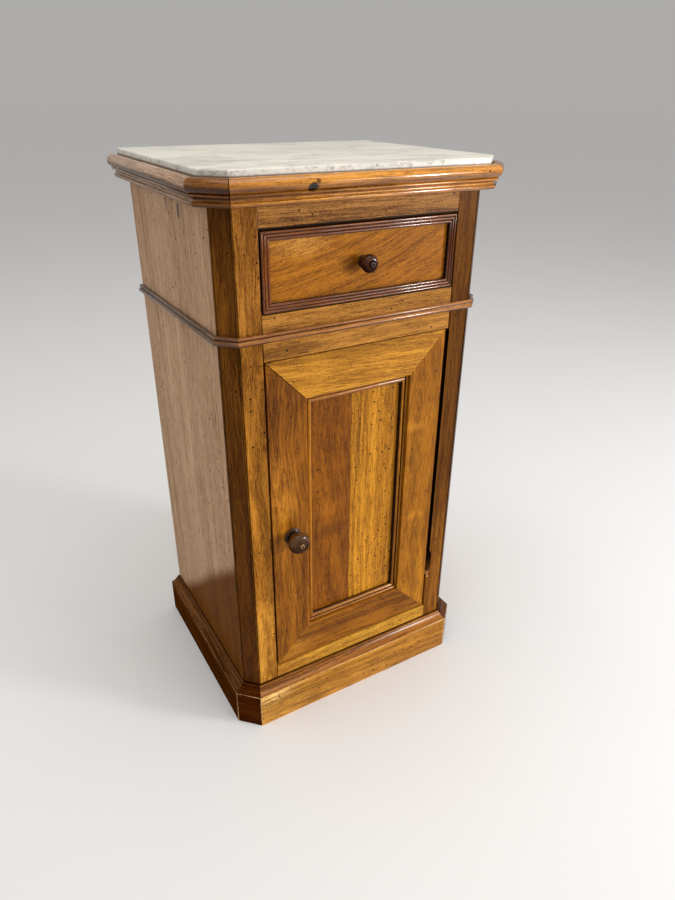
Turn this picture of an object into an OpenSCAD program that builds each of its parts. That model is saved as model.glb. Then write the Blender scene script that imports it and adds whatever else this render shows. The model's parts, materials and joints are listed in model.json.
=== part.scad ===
// Bedside pot cupboard: a walnut carcass with canted front corners under a marble slab,
// with one drawer over one door that hangs on pivots. Millimetres, +Z up, the front faces -Y.
// Places are worked out in x, depth behind the body's front face, and z above the floor.

/* [Overall] */
// Height from the floor to the top of the marble
overall_h = 780; // [740:1:860]
// Width of the body between its side faces
body_w = 366; // [340:1:440]
// Depth of the body from its front face to its back
body_d = 310; // [280:1:380]
// Leg of the cant that takes off each front corner
cant_leg = 18; // [12:0.5:24]

/* [Marble] */
// Thickness of the marble slab
marble_t = 20; // [16:0.5:26]
// How far the marble stands out past the body
marble_out = 12; // [9:0.5:14]
// Play between the marble and the lip of the cornice round it
marble_play = 0.4; // [0.2:0.1:1.2]

/* [Carcass] */
// Width of a corner post on the front, from the cant to the openings
post_front = 30; // [26:0.5:42]
// Width of a corner post on the side, from the cant to the side board
post_side = 16; // [12:0.5:30]
// Thickness of the side boards
side_t = 18; // [14:0.5:24]
// Thickness of the front rails
rail_t = 25; // [24.5:0.5:28]
// Height of the top rail, part of it behind the cornice
top_rail_h = 42; // [34:0.5:60]
// Height of the rail between the drawer and the door
middle_rail_h = 55; // [46:0.5:70]
// Height of the bottom rail, most of it behind the plinth
bottom_rail_h = 70; // [60:0.5:84]
// How much of the bottom rail shows above the plinth
bottom_rail_show = 23; // [14:0.5:34]
// Length of the tenons on the front rails
tenon_l = 18; // [12:0.5:26]
// Thickness of those tenons and of the side boards' tongues
tenon_t = 8; // [5:0.5:10]
// Shoulder above and below each tenon
tenon_shoulder = 7; // [4:0.5:12]
// Length of the tongue that joins a side board to its post
tongue_l = 8; // [5:0.5:12]

/* [Back] */
// Thickness of the back boards
back_t = 9; // [6:0.5:12]
// How far the back boards lap onto each side board
back_rebate = 9; // [5:0.5:12]
// Number of back boards
back_board_count = 3; // [2:1:4]
// Shrinkage gap between neighbouring back boards
back_board_gap = 0.8; // [0.3:0.1:2]
// Height of each back rail
back_rail_h = 40; // [30:1:60]
// Thickness of each back rail
back_rail_t = 20; // [14:0.5:26]

/* [Inside] */
// Thickness of the cupboard floor, the shelf and the board under the drawer
board_t = 12; // [9:0.5:16]
// Height of the shelf's top above the cupboard floor
shelf_rise = 258; // [240:1:290]
// Depth behind the body's front at which the shelf begins
shelf_setback = 60; // [46:1:110]
// Width and height of the battens under the floor and the shelf
batten = 16; // [12:0.5:22]
// Width of the strip that the door closes against
door_stop_w = 8; // [5:0.5:12]
// Length of each glue block behind the bottom rail
glue_block_l = 40; // [25:1:60]
// Width and height of each glue block
glue_block = 20; // [14:0.5:26]
// Distance between neighbouring glue blocks' centres
glue_block_pitch = 88; // [66:1:96]

/* [Cornice] */
// How far the cornice reaches below the underside of the marble
cornice_drop = 16; // [14:0.5:22]
// Radius of the big torus
torus_r = 8; // [7:0.25:9]
// How far the torus stands out past the body
torus_out = 26.5; // [24:0.5:30]
// Height of the torus's centre above the underside of the marble
torus_rise = 5; // [3:0.5:7]
// How far the lip round the marble stays below the top of the torus
lip_drop = 1.5; // [1:0.25:3]
// Radius of the small bead under the torus
cornice_bead_r = 1.7; // [1.2:0.1:2]
// How far that small bead stands out past the body
cornice_bead_out = 22; // [21:0.5:24]
// Radius of the lowest bead of the cornice
cornice_foot_r = 2.3; // [1.8:0.1:2.6]
// How far that lowest bead stands out past the body
cornice_foot_out = 18.5; // [17:0.5:20]
// How far the cove between the two beads opens past the body
cornice_cove_out = 19.5; // [18.5:0.5:21]
// How far the small bead is let up into the torus
cornice_bead_lap = 0.35; // [0.2:0.05:0.6]

/* [String moulding] */
// Height of the string moulding
string_h = 11; // [9:0.5:14]
// How far its lower, bigger reed stands out
string_out = 6.4; // [5:0.2:8]
// How far its upper, smaller reed stands out
string_top_out = 4.8; // [3.5:0.1:5]
// Radius of the lower reed
string_reed_r = 3.2; // [2.6:0.1:3.6]
// Radius of the upper reed
string_top_r = 2.2; // [1.6:0.1:2.4]
// Height of its underside above the door opening
string_rise = 24; // [14:0.5:34]

/* [Plinth] */
// Height of the whole plinth with its moulded top
plinth_h = 67; // [60:0.5:76]
// How far the plinth stands out past the body
plinth_out = 15.5; // [13:0.5:20]
// Height of the moulded top edge
plinth_mould_h = 10; // [8:0.5:13]
// Radius of the bead where the plinth meets the body
plinth_bead_r = 2; // [1.5:0.1:2.5]
// Radius of the hollow in the plinth's moulded edge
plinth_hollow_r = 14; // [10:0.5:20]
// Flat left at the outer edge of that hollow
plinth_arris = 1.2; // [0.8:0.1:2]
// Groove between the hollow and the bead
plinth_groove = 1; // [0.5:0.1:1.5]

/* [Drawer] */
// Height of the drawer opening
drawer_opening_h = 93; // [84:0.5:104]
// Gap round the drawer front
drawer_gap = 1.5; // [1:0.1:2.5]
// Depth of the drawer's field behind the front of the body
drawer_field_in = 4; // [3:0.25:6]
// Thickness of the drawer front
drawer_front_t = 20; // [17:0.5:24]
// Wood left in front of the lapped dovetails
dovetail_lap = 7; // [5:0.5:9]
// Thickness of the drawer sides
drawer_side_t = 10; // [8:0.5:13]
// Thickness of the drawer back
drawer_back_t = 8; // [6:0.5:11]
// Play under the kickers, above the drawer sides
drawer_top_play = 1.5; // [1:0.25:4]
// How far the drawer sides stop below the top of their opening
drawer_side_drop = 4.7; // [3:0.1:10]
// Running clearance under the drawer sides
drawer_run_gap = 0.3; // [0.2:0.05:0.6]
// Play between the drawer sides and each guide
drawer_guide_play = 1; // [0.6:0.1:2]
// Gap between the closed drawer and the back boards
drawer_end_gap = 1; // [0.6:0.1:4]
// Thickness of the drawer bottom
drawer_bottom_t = 6; // [4:0.5:9]
// Height of the drawer bottom's underside above the runners
drawer_bottom_rise = 6; // [4:0.5:10]
// Depth of the grooves that hold the drawer bottom
drawer_groove = 4; // [3:0.5:5]
// How far the drawer back stops below the top of the sides
drawer_back_drop = 6; // [3:0.5:12]
// Number of dovetails at each corner of the drawer
dovetail_count = 3; // [2:1:4]
// Width of a dovetail at its root, as a share of its pitch
dovetail_root = 0.5; // [0.4:0.05:0.6]
// Slope of a dovetail's sides
dovetail_slope = 0.16; // [0.1:0.02:0.2]
// Width of the reeded moulding round the drawer's field
drawer_mould_w = 11; // [9:0.25:14]
// Thickness of that moulding
drawer_mould_t = 5; // [4.25:0.25:6]
// Number of reeds on it
drawer_reeds = 3; // [2:1:4]

/* [Drawer slides] */
// Width of each runner
runner_w = 22; // [16:0.5:28]
// Height of each guide above the board under the drawer
guide_h = 38; // [26:0.5:50]
// Height of each kicker
kicker_h = 20; // [14:0.5:22]

/* [Door] */
// Gap between the door and each post
door_side_gap = 2.5; // [2:0.1:3.5]
// Gap above and below the door
door_end_gap = 2; // [1.5:0.1:3]
// How far the door sits behind the front of the body
door_recess = 2; // [1:0.1:2.2]
// Thickness of the door
door_t = 22; // [20:0.5:22]
// Gap between the closed door and its stop
door_stop_gap = 0.5; // [0.3:0.1:1]
// Width of the door's stiles
door_stile_w = 53; // [48:0.5:62]
// Width of the door's rails
door_rail_w = 55.5; // [48:0.5:64]
// Depth of the panel's face behind the face of the door
panel_recess = 11; // [9:0.25:12]
// Thickness of the panel
panel_t = 7; // [5:0.5:8]
// Depth of the groove that holds the panel
panel_groove = 8; // [6:0.5:12]
// Play left for the panel in each groove
panel_play = 1; // [0.5:0.1:2]
// Place of the joint between the panel's two boards, from the middle of the door
panel_joint_x = -6; // [-30:1:30]
// Width of the bead round the panel
bead_w = 10.5; // [9:0.25:13]
// Height of the outer reed of that bead above the panel
bead_reed_h = 7; // [6.5:0.1:7.5]
// Radius of the outer reed
bead_reed_r = 1.7; // [1.3:0.1:2]
// Height of the bead's inner roll above the panel
bead_roll_h = 6.4; // [5.6:0.1:6.8]
// Radius of the inner roll
bead_roll_r = 3.2; // [2.6:0.1:3.6]

/* [Pivots] */
// Distance of the pivot from the door's hinged edge
pivot_in = 11; // [10:0.5:14]
// Distance of the pivot behind the face of the door
pivot_back = 6.5; // [6:0.25:7]
// Radius of the pivot pins
pivot_r = 2.5; // [2:0.1:3]
// Running clearance round a pivot pin
pivot_clear = 0.05; // [0.02:0.01:0.1]
// How far a pivot pin reaches past the socket plate
pivot_reach = 4; // [2:0.5:7]
// Room round and beyond the end of the pin in the rail
pivot_room = 0.6; // [0.4:0.1:1]
// Thickness of the pivot and socket plates
plate_t = 2; // [1.5:0.1:2.5]
// Width of those plates
plate_w = 9; // [8:0.5:10]
// Length of a plate from the pivot away from the post
plate_l = 36; // [32:1:44]
// Length of a plate from the pivot towards the post
plate_end = 7; // [5:0.5:8]
// Clearance under the shoulder that carries the door
shoulder_gap = 0.3; // [0.2:0.05:0.5]
// Radius of a screw's shank
screw_r = 1.4; // [1.1:0.1:1.8]
// Radius of a screw's countersunk head
screw_head_r = 2.7; // [2.2:0.1:3.2]
// Length of a screw
screw_l = 12; // [9:0.5:16]

/* [Knobs] */
// Radius of the drawer knob
drawer_knob_r = 11; // [9:0.5:14]
// Thickness of the drawer knob's ball
drawer_knob_t = 13; // [11:0.5:15]
// How far the drawer knob stands off its field
drawer_knob_reach = 24; // [21:0.5:28]
// Radius of the drawer knob's foot
drawer_knob_foot_r = 7.5; // [6.5:0.5:9]
// Radius of the door knob
door_knob_r = 15.5; // [13:0.5:18]
// Thickness of the door knob's ball
door_knob_t = 16; // [13:0.5:18]
// How far the door knob stands off the door
door_knob_reach = 31; // [29:0.5:36]
// Radius of the door knob's foot
door_knob_foot_r = 12.5; // [10:0.5:14]
// Thickness of a knob's foot
knob_foot_t = 3; // [2:0.25:3.5]
// Radius of a knob's neck
knob_neck_r = 5.5; // [4.5:0.25:6]
// Radius of the button in the middle of a knob
knob_button_r = 3.5; // [2.5:0.25:4]
// How far that button stands up
knob_button_h = 3; // [2:0.25:4]
// Radius of the small hole in the button
knob_dimple_r = 1.4; // [0.8:0.1:1.8]
// Radius of the tenon or spindle behind a knob
spindle_r = 4; // [3:0.25:4.25]
// Length of the drawer knob's tenon
knob_tenon_l = 14; // [9:0.5:16]
// Distance of the door knob from the door's free edge
door_knob_in = 29; // [24:0.5:32]
// Height of the door knob above the floor
door_knob_z = 315; // [285:1:320]
// Running clearance round the door knob's spindle
spindle_clear = 0.05; // [0.02:0.01:0.1]
// Gap between a turning piece and the face beside it
turn_gap = 0.3; // [0.2:0.05:0.6]
// Length of the turn button from the spindle
button_l = 42; // [40:0.5:44]
// Width of the turn button
button_w = 11; // [9:0.5:13]
// Thickness of the turn button
button_t = 5; // [4:0.5:7]
// Gap between the turn button and the back of the post
button_gap = 0.5; // [0.3:0.1:1]
// Radius of the turn button's boss
boss_r = 8; // [6.5:0.25:9]
// How far the spindle shows past the turn button
spindle_end = 2; // [1:0.5:4]

/* [Hidden] */
$fn = 64;
honey = "#b87a34";
light_honey = "#c98f45";
red_brown = "#6d3a1a";
dark_knob = "#2e1a12";
side_wood = "#a87c50";
inside_wood = "#c2a270";
marble_white = "#e2ddcf";
iron = "#5c5650";

// Levels above the floor
carcass_z = overall_h - marble_t;
drawer_top_z = carcass_z - top_rail_h;
drawer_low_z = drawer_top_z - drawer_opening_h;
door_top_z = drawer_low_z - middle_rail_h;
door_low_z = plinth_h + bottom_rail_show;
floor_low_z = door_low_z - board_t;
shelf_z = door_low_z + shelf_rise;
string_z = door_top_z + string_rise;
dust_z = string_z + batten;                      // top of the board under the drawer
plinth_face_z = plinth_h - plinth_mould_h;

// Widths and depths
post_w = cant_leg + post_front;
post_d = cant_leg + post_side;
open_w = body_w - 2 * post_w;
inner_w = body_w - 2 * side_t;
back_in = body_d - back_t;                       // depth at which the inside ends
back_rail_in = back_in - back_rail_t;
behind = 4;                                      // how far profiles are drawn behind their seat
over = 1;                                        // how far a cut runs on past a face

// The whole object is centred on its own box: the door knob or the cornice reaches furthest
front_reach = max(torus_out, door_knob_reach - door_recess);
front_y = (front_reach - body_d) / 2;

// Drawer box
drawer_half = open_w / 2 - drawer_gap;
drawer_face_h = drawer_opening_h - 2 * drawer_gap;
drawer_front_in = drawer_field_in + drawer_front_t;
drawer_end = back_in - drawer_end_gap;
drawer_side_z = drawer_low_z + drawer_run_gap;
drawer_side_h = drawer_opening_h - drawer_run_gap - drawer_side_drop;
drawer_bottom_z = drawer_low_z + drawer_bottom_rise;
drawer_back_z = drawer_bottom_z + drawer_bottom_t;
drawer_back_h = drawer_side_z + drawer_side_h - drawer_back_drop - drawer_back_z;
tail_l = drawer_front_t - dovetail_lap;
guide_half = drawer_half + drawer_guide_play;

// Door
door_half = open_w / 2 - door_side_gap;
door_z0 = door_low_z + door_end_gap;
door_z1 = door_top_z - door_end_gap;
door_h = door_z1 - door_z0;
door_back = door_recess + door_t;
panel_in = door_recess + panel_recess;
sight_w = 2 * (door_half - door_stile_w);        // opening of the door's frame
sight_h = door_h - 2 * door_rail_w;
door_mid_z = (door_z0 + door_z1) / 2;
pivot_x = door_half - pivot_in;
pivot_in_depth = door_recess + pivot_back;
screw_spots = [-plate_l / 3, -plate_l * 4 / 5];  // from the pivot along a plate
door_knob_x = door_knob_in - door_half;
button_in = post_d + button_gap;

// ---- Helpers -----------------------------------------------------------------------------

// Puts a piece that is drawn behind the body's front face in its place
module placed() translate([0, front_y, 0]) children();

// A board between two x, two depths and two heights
module board(x, depth, z)
    translate([x[0], depth[0], z[0]])
        cube([x[1] - x[0], depth[1] - depth[0], z[1] - z[0]]);

// The right-hand shape, or its mirror on the left
module on_side(side) mirror([side == "left" ? 1 : 0, 0, 0]) children();

module on_both_sides() for (side = ["left", "right"]) on_side(side) children();

// A flat shape in x and z, cut from a board that starts at a depth
module face_cut(depth, t)
    translate([0, depth + t, 0]) rotate([90, 0, 0]) linear_extrude(t) children();

// A flat shape in depth and z, cut from a board that starts at x
module side_cut(x, t) translate([x, 0, 0]) rotate([90, 0, 90]) linear_extrude(t) children();

// A turned piece whose axis points forward, out of a face at a depth
module turned(x, depth, z)
    translate([x, depth, z]) rotate([90, 0, 0]) rotate_extrude() children();

// A round hole or pin from front to back
module cross_cylinder(x, depth, z, r)
    translate([x, depth[1], z]) rotate([90, 0, 0]) cylinder(r = r, h = depth[1] - depth[0]);

// Corner k of the body's plan, pushed out square to its faces by o. Corners 0 and 5 are the
// back ends, 1 and 4 end the cants at the sides, 2 and 3 end them at the front.
function plan_corner(k, o) =
    let (leg = cant_leg + o * (2 - sqrt(2)), x = body_w / 2 + o)
    k == 0 ? [-x, body_d] :
    k == 1 ? [-x, leg - o] :
    k == 2 ? [leg - x, -o] :
    k == 3 ? [x - leg, -o] :
    k == 4 ? [x, leg - o] :
             [x, body_d];

// A moulding along the body from corner k to the next one, mitred at both. Its profile is a
// flat shape in distance out from the body and height.
module mitred_run(k, reach) {
    start = plan_corner(k, 0);
    end = plan_corner(k + 1, 0);
    along = end - start;
    intersection() {
        translate([(start.x + end.x) / 2, (start.y + end.y) / 2, 0])
            rotate([90, 0, atan2(along.y, along.x) - 90])
                linear_extrude(norm(along) + 4 * reach, center = true) children();
        translate([0, 0, -behind]) linear_extrude(overall_h + 2 * behind)
            polygon([start, end, plan_corner(k + 1, reach), plan_corner(k, reach)]);
    }
}

// One mitred member of a moulded frame inside a w by h rectangle that is centred at x and z.
// Its profile is a flat shape in distance in from the rectangle and height off the face.
module frame_member(side, w, h, reach, x, depth, z) {
    upright = side == "left" || side == "right";
    turn = side == "left" ? 0 : side == "bottom" ? -90 : side == "right" ? 180 : 90;
    run = upright ? h : w;
    out = upright ? w / 2 : h / 2;
    translate([x, depth, z]) rotate([0, turn, 0]) translate([-out, 0, 0]) intersection() {
        rotate([180, 0, 0]) linear_extrude(run + 2 * reach, center = true) children();
        translate([0, 2 * reach, 0]) rotate([90, 0, 0]) linear_extrude(4 * reach)
            polygon([[0, -run / 2], [reach, reach - run / 2], [reach, run / 2 - reach], [0, run / 2]]);
    }
}

// ---- Profiles ----------------------------------------------------------------------------

module cornice_profile() {
    low_z = carcass_z - cornice_drop;
    torus_o = torus_out - torus_r;
    torus_z = carcass_z + torus_rise;
    bead_o = cornice_bead_out - cornice_bead_r;
    bead_z = torus_z - torus_r - cornice_bead_r + cornice_bead_lap;
    foot_o = cornice_foot_out - cornice_foot_r;
    foot_z = low_z + cornice_foot_r;
    cove_low = foot_z + cornice_foot_r;
    cove_r = (bead_z - cornice_bead_r - cove_low) / 2;
    wall_o = marble_out + marble_play;
    difference() {
        union() {
            translate([-behind, low_z]) square([behind + foot_o, cornice_drop]);
            translate([foot_o, foot_z]) circle(cornice_foot_r);
            translate([0, foot_z]) square([cornice_cove_out, bead_z - foot_z]);
            translate([0, bead_z - cornice_bead_r])
                square([bead_o, carcass_z - bead_z + cornice_bead_r]);
            translate([bead_o, bead_z]) circle(cornice_bead_r);
            translate([torus_o, torus_z]) circle(torus_r);
            translate([wall_o, bead_z])
                square([torus_o - wall_o, torus_z + torus_r - lip_drop - bead_z]);
        }
        translate([cornice_cove_out, cove_low + cove_r]) circle(cove_r);
        translate([-behind, carcass_z]) square([behind + wall_o, marble_t]);
    }
}

module string_profile() {
    translate([-behind, string_z]) square([behind + string_out - string_reed_r, string_h]);
    translate([string_out - string_reed_r, string_z + string_reed_r]) circle(string_reed_r);
    translate([string_top_out - string_top_r, string_z + string_h - string_top_r])
        circle(string_top_r);
}

module plinth_profile() {
    high = [2 * plinth_bead_r + plinth_groove, plinth_h - plinth_bead_r];   // top of the hollow
    low = [plinth_out - plinth_arris, plinth_face_z + plinth_arris];        // foot of the hollow
    chord = norm(low - high);
    lift = sqrt(pow(plinth_hollow_r, 2) - pow(chord / 2, 2));
    centre = (high + low) / 2 + [high.y - low.y, low.x - high.x] * lift / chord;
    difference() {
        polygon([[-behind, 0], [plinth_out, 0], [plinth_out, plinth_face_z], low, high,
                 [high.x - plinth_groove, high.y - plinth_groove],
                 [-behind, high.y - plinth_groove]]);
        translate(centre) circle(plinth_hollow_r, $fn = 128);
    }
    translate([plinth_bead_r, plinth_h - plinth_bead_r]) circle(plinth_bead_r);
    translate([-behind, plinth_face_z])
        square([behind + plinth_bead_r, plinth_h - plinth_face_z]);
}

module drawer_mould_profile() {
    reed_r = drawer_mould_w / drawer_reeds / 2;
    translate([-behind, 0]) square([behind + drawer_mould_w, drawer_mould_t - reed_r]);
    for (i = [0 : drawer_reeds - 1])
        translate([(2 * i + 1) * reed_r, drawer_mould_t - reed_r]) circle(reed_r);
}

module door_bead_profile() {
    roll_o = bead_w - bead_roll_r;
    translate([-behind, 0]) square([behind + bead_w, bead_roll_h - bead_roll_r]);
    translate([roll_o, bead_roll_h - bead_roll_r]) circle(bead_roll_r);
    translate([-behind, 0]) square([behind + bead_reed_r, bead_reed_h - bead_reed_r]);
    translate([bead_reed_r, bead_reed_h - bead_reed_r]) circle(bead_reed_r);
    translate([0, 0]) square([roll_o, bead_reed_h - 2 * bead_reed_r]);
}

// Half the outline of a turned knob: x is the radius and y the distance out from its face
module knob_outline(r, t, reach, foot_r) {
    edge = t / 2;
    ball_y = reach - knob_button_h - edge;
    difference() {
        union() {
            intersection() {
                translate([r - edge, ball_y]) circle(edge);
                square([r, reach]);
            }
            translate([0, ball_y - edge]) square([r - edge, t]);
            square([knob_neck_r, ball_y]);
            square([foot_r - knob_foot_t / 2, knob_foot_t]);
            translate([foot_r - knob_foot_t / 2, knob_foot_t / 2]) circle(knob_foot_t / 2);
            square([knob_button_r, reach]);
        }
        translate([0, reach - knob_button_h / 2]) square([knob_dimple_r, knob_button_h]);
    }
}

// ---- Marble ------------------------------------------------------------------------------

module marble_top() placed() color(marble_white)
    translate([0, 0, carcass_z]) linear_extrude(marble_t)
        polygon([for (k = [0 : 5]) plan_corner(k, marble_out)]);

// ---- Mouldings round the body ------------------------------------------------------------

module cornice(k) placed() color(red_brown)
    mitred_run(k, torus_out + behind) cornice_profile();

module cornice_left() cornice(0);
module cornice_cant_left() cornice(1);
module cornice_front() cornice(2);
module cornice_cant_right() cornice(3);
module cornice_right() cornice(4);

module string_course(k) placed() color(red_brown)
    mitred_run(k, string_out + behind) string_profile();

module string_left() string_course(0);
module string_cant_left() string_course(1);
module string_front() string_course(2);
module string_cant_right() string_course(3);
module string_right() string_course(4);

module plinth(k) placed() color(honey)
    mitred_run(k, plinth_out + behind) plinth_profile();

module plinth_left() plinth(0);
module plinth_cant_left() plinth(1);
module plinth_front() plinth(2);
module plinth_cant_right() plinth(3);
module plinth_right() plinth(4);

// ---- Carcass -----------------------------------------------------------------------------

// The tenons of a front rail, at both its ends
module rail_tenons(z, h)
    on_both_sides()
        board([open_w / 2, open_w / 2 + tenon_l],
              [(rail_t - tenon_t) / 2, (rail_t + tenon_t) / 2],
              [z + tenon_shoulder, z + h - tenon_shoulder]);

module front_rail(z, h) {
    board([-open_w / 2, open_w / 2], [0, rail_t], [z, z + h]);
    rail_tenons(z, h);
}

// The tongue of the right side board in its post
module side_tongue() {
    middle = (body_w - side_t) / 2;
    board([middle - tenon_t / 2, middle + tenon_t / 2], [post_d - tongue_l, post_d],
          [0, carcass_z]);
}

module corner_post(side) placed() color(honey) on_side(side) difference() {
    linear_extrude(carcass_z)
        polygon([[open_w / 2, 0], [body_w / 2 - cant_leg, 0], [body_w / 2, cant_leg],
                 [body_w / 2, post_d], [open_w / 2, post_d]]);
    side_tongue();
    rail_tenons(drawer_top_z, top_rail_h);
    rail_tenons(door_top_z, middle_rail_h);
    rail_tenons(door_low_z - bottom_rail_h, bottom_rail_h);
}

module corner_post_left() corner_post("left");
module corner_post_right() corner_post("right");

module side_board(side) placed() color(side_wood) on_side(side) {
    difference() {
        board([inner_w / 2, body_w / 2], [post_d, body_d], [0, carcass_z]);
        board([inner_w / 2 - over, inner_w / 2 + back_rebate], [back_in, body_d + over],
              [-over, carcass_z + over]);
    }
    side_tongue();
}

module side_board_left() side_board("left");
module side_board_right() side_board("right");

module top_rail() placed() color(honey) front_rail(drawer_top_z, top_rail_h);

module middle_rail() placed() color(honey) difference() {
    front_rail(door_top_z, middle_rail_h);
    translate([pivot_x, pivot_in_depth, door_top_z]) socket_cut();
}

module bottom_rail() placed() color(light_honey) difference() {
    front_rail(door_low_z - bottom_rail_h, bottom_rail_h);
    translate([pivot_x, pivot_in_depth, door_low_z]) mirror([0, 0, 1]) socket_cut();
}

module back_rails() placed() color(inside_wood)
    for (z = [floor_low_z - back_rail_h, carcass_z - back_rail_h])
        board([-inner_w / 2, inner_w / 2], [back_rail_in, back_in], [z, z + back_rail_h]);

module back_boards() placed() color(inside_wood) {
    whole = inner_w + 2 * back_rebate;
    pitch = whole / back_board_count;
    for (i = [0 : back_board_count - 1])
        board([i * pitch - whole / 2 + back_board_gap / 2,
               (i + 1) * pitch - whole / 2 - back_board_gap / 2],
              [back_in, body_d], [floor_low_z - back_rail_h, carcass_z]);
}

// A board across the inside that meets the front rails between the posts
module inside_board(z)
    translate([0, 0, z]) linear_extrude(board_t)
        polygon([[-inner_w / 2, post_d], [-open_w / 2, post_d], [-open_w / 2, rail_t],
                 [open_w / 2, rail_t], [open_w / 2, post_d], [inner_w / 2, post_d],
                 [inner_w / 2, back_in], [-inner_w / 2, back_in]]);

module cupboard_floor() placed() color(inside_wood) inside_board(floor_low_z);

module dust_board() placed() color(inside_wood) inside_board(dust_z - board_t);

module shelf() placed() color(inside_wood)
    board([-inner_w / 2, inner_w / 2], [shelf_setback, back_in], [shelf_z - board_t, shelf_z]);

module battens() placed() color(inside_wood) on_both_sides()
    for (z = [floor_low_z, shelf_z - board_t])
        board([inner_w / 2 - batten, inner_w / 2], [shelf_setback, back_rail_in],
              [z - batten, z]);

module drawer_runners() placed() color(inside_wood) on_both_sides()
    board([guide_half - runner_w, guide_half], [rail_t, back_in], [dust_z, drawer_low_z]);

module drawer_guides() placed() color(inside_wood) on_both_sides()
    board([guide_half, inner_w / 2], [post_d, back_in], [dust_z, dust_z + guide_h]);

module drawer_kickers() placed() color(inside_wood) on_both_sides() {
    z = drawer_side_z + drawer_side_h + drawer_top_play;
    board([guide_half - runner_w, inner_w / 2], [post_d, back_rail_in], [z, z + kicker_h]);
}

module glue_blocks() placed() color(inside_wood)
    for (i = [-1 : 1])
        translate([i * glue_block_pitch, 0, 0])
            board([-glue_block_l / 2, glue_block_l / 2], [rail_t, rail_t + glue_block],
                  [floor_low_z - glue_block, floor_low_z]);

module door_stop() placed() color(honey)
    board([-open_w / 2, door_stop_w - open_w / 2], [door_back + door_stop_gap, post_d],
          [door_low_z, door_top_z]);

// ---- Pivots ------------------------------------------------------------------------------

// Screws in a plate whose outer face is at z = 0 and whose inside is above it
module plate_screws()
    for (x = screw_spots) translate([x, 0, 0]) {
        cylinder(r1 = screw_head_r, r2 = screw_r, h = screw_head_r - screw_r);
        cylinder(r = screw_r, h = screw_l);
    }

module plate_blank()
    translate([-plate_l, -plate_w / 2, 0]) cube([plate_l + plate_end, plate_w, plate_t]);

// What a rail loses to a socket plate, its screws and the end of the pin
module socket_cut() {
    plate_blank();
    plate_screws();
    cylinder(r = pivot_r + pivot_room, h = plate_t + pivot_reach + pivot_room);
}

module socket_plate() difference() {
    plate_blank();
    plate_screws();
    translate([0, 0, -over]) cylinder(r = pivot_r + pivot_clear, h = plate_t + 2 * over);
}

module socket_plates() placed() color(iron) {
    translate([pivot_x, pivot_in_depth, door_top_z]) socket_plate();
    translate([pivot_x, pivot_in_depth, door_low_z]) mirror([0, 0, 1]) socket_plate();
}

module socket_screws() placed() color(iron) {
    translate([pivot_x, pivot_in_depth, door_top_z]) plate_screws();
    translate([pivot_x, pivot_in_depth, door_low_z]) mirror([0, 0, 1]) plate_screws();
}

// What the door's edge loses to a pivot plate and its screws
module pivot_cut() {
    plate_blank();
    plate_screws();
}

// A plate let into the edge of the door, with its pin standing out of it
module pivot_plate(shoulder) {
    difference() {
        plate_blank();
        plate_screws();
    }
    translate([0, 0, -door_end_gap - plate_t - pivot_reach])
        cylinder(r = pivot_r, h = door_end_gap + plate_t + pivot_reach + plate_t / 2);
    if (shoulder)
        translate([0, 0, shoulder_gap - door_end_gap])
            cylinder(r = plate_w / 2, h = door_end_gap - shoulder_gap + plate_t / 2);
}

module pivot_plates() placed() color(iron) {
    translate([pivot_x, pivot_in_depth, door_z1]) mirror([0, 0, 1]) pivot_plate(false);
    translate([pivot_x, pivot_in_depth, door_z0]) pivot_plate(true);
}

module pivot_screws() placed() color(iron) {
    translate([pivot_x, pivot_in_depth, door_z1]) mirror([0, 0, 1]) plate_screws();
    translate([pivot_x, pivot_in_depth, door_z0]) plate_screws();
}

// ---- Door --------------------------------------------------------------------------------

// The room that the panel's groove takes out of the frame
module panel_room() {
    half = sight_w / 2 + panel_groove;
    board([-half, half], [panel_in, panel_in + panel_t],
          [door_mid_z - sight_h / 2 - panel_groove, door_mid_z + sight_h / 2 + panel_groove]);
}

module door_stile(side) placed() color(honey) on_side(side) difference() {
    face_cut(door_recess, door_t)
        polygon([[door_half, door_z0], [door_half, door_z1],
                 [sight_w / 2, door_z1 - door_rail_w], [sight_w / 2, door_z0 + door_rail_w]]);
    panel_room();
    if (side == "left")
        cross_cylinder(-door_knob_x, [door_recess - over, door_back + over], door_knob_z,
                       spindle_r + spindle_clear);
}

module door_stile_left() door_stile("left");
module door_stile_right() door_stile("right");

// The lower rail, with its edge on z = 0; the upper one is its mirror
module door_rail() face_cut(door_recess, door_t)
    polygon([[-door_half, 0], [door_half, 0],
             [sight_w / 2, door_rail_w], [-sight_w / 2, door_rail_w]]);

module door_rail_top() placed() color(light_honey) difference() {
    translate([0, 0, door_z1]) mirror([0, 0, 1]) door_rail();
    panel_room();
    translate([pivot_x, pivot_in_depth, door_z1]) mirror([0, 0, 1]) pivot_cut();
}

module door_rail_bottom() placed() color(light_honey) difference() {
    translate([0, 0, door_z0]) door_rail();
    panel_room();
    translate([pivot_x, pivot_in_depth, door_z0]) pivot_cut();
}

// One board of the panel, between two x
module door_panel(x) {
    half_h = sight_h / 2 + panel_groove - panel_play;
    board(x, [panel_in, panel_in + panel_t], [door_mid_z - half_h, door_mid_z + half_h]);
}

panel_half = sight_w / 2 + panel_groove - panel_play;
module door_panel_left() placed() color(honey) door_panel([-panel_half, panel_joint_x]);
module door_panel_right() placed() color(light_honey) door_panel([panel_joint_x, panel_half]);

module door_bead(side) placed() color(honey)
    frame_member(side, sight_w, sight_h, bead_w + behind, 0, panel_in, door_mid_z)
        door_bead_profile();

module door_bead_top() door_bead("top");
module door_bead_bottom() door_bead("bottom");
module door_bead_left() door_bead("left");
module door_bead_right() door_bead("right");

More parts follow.
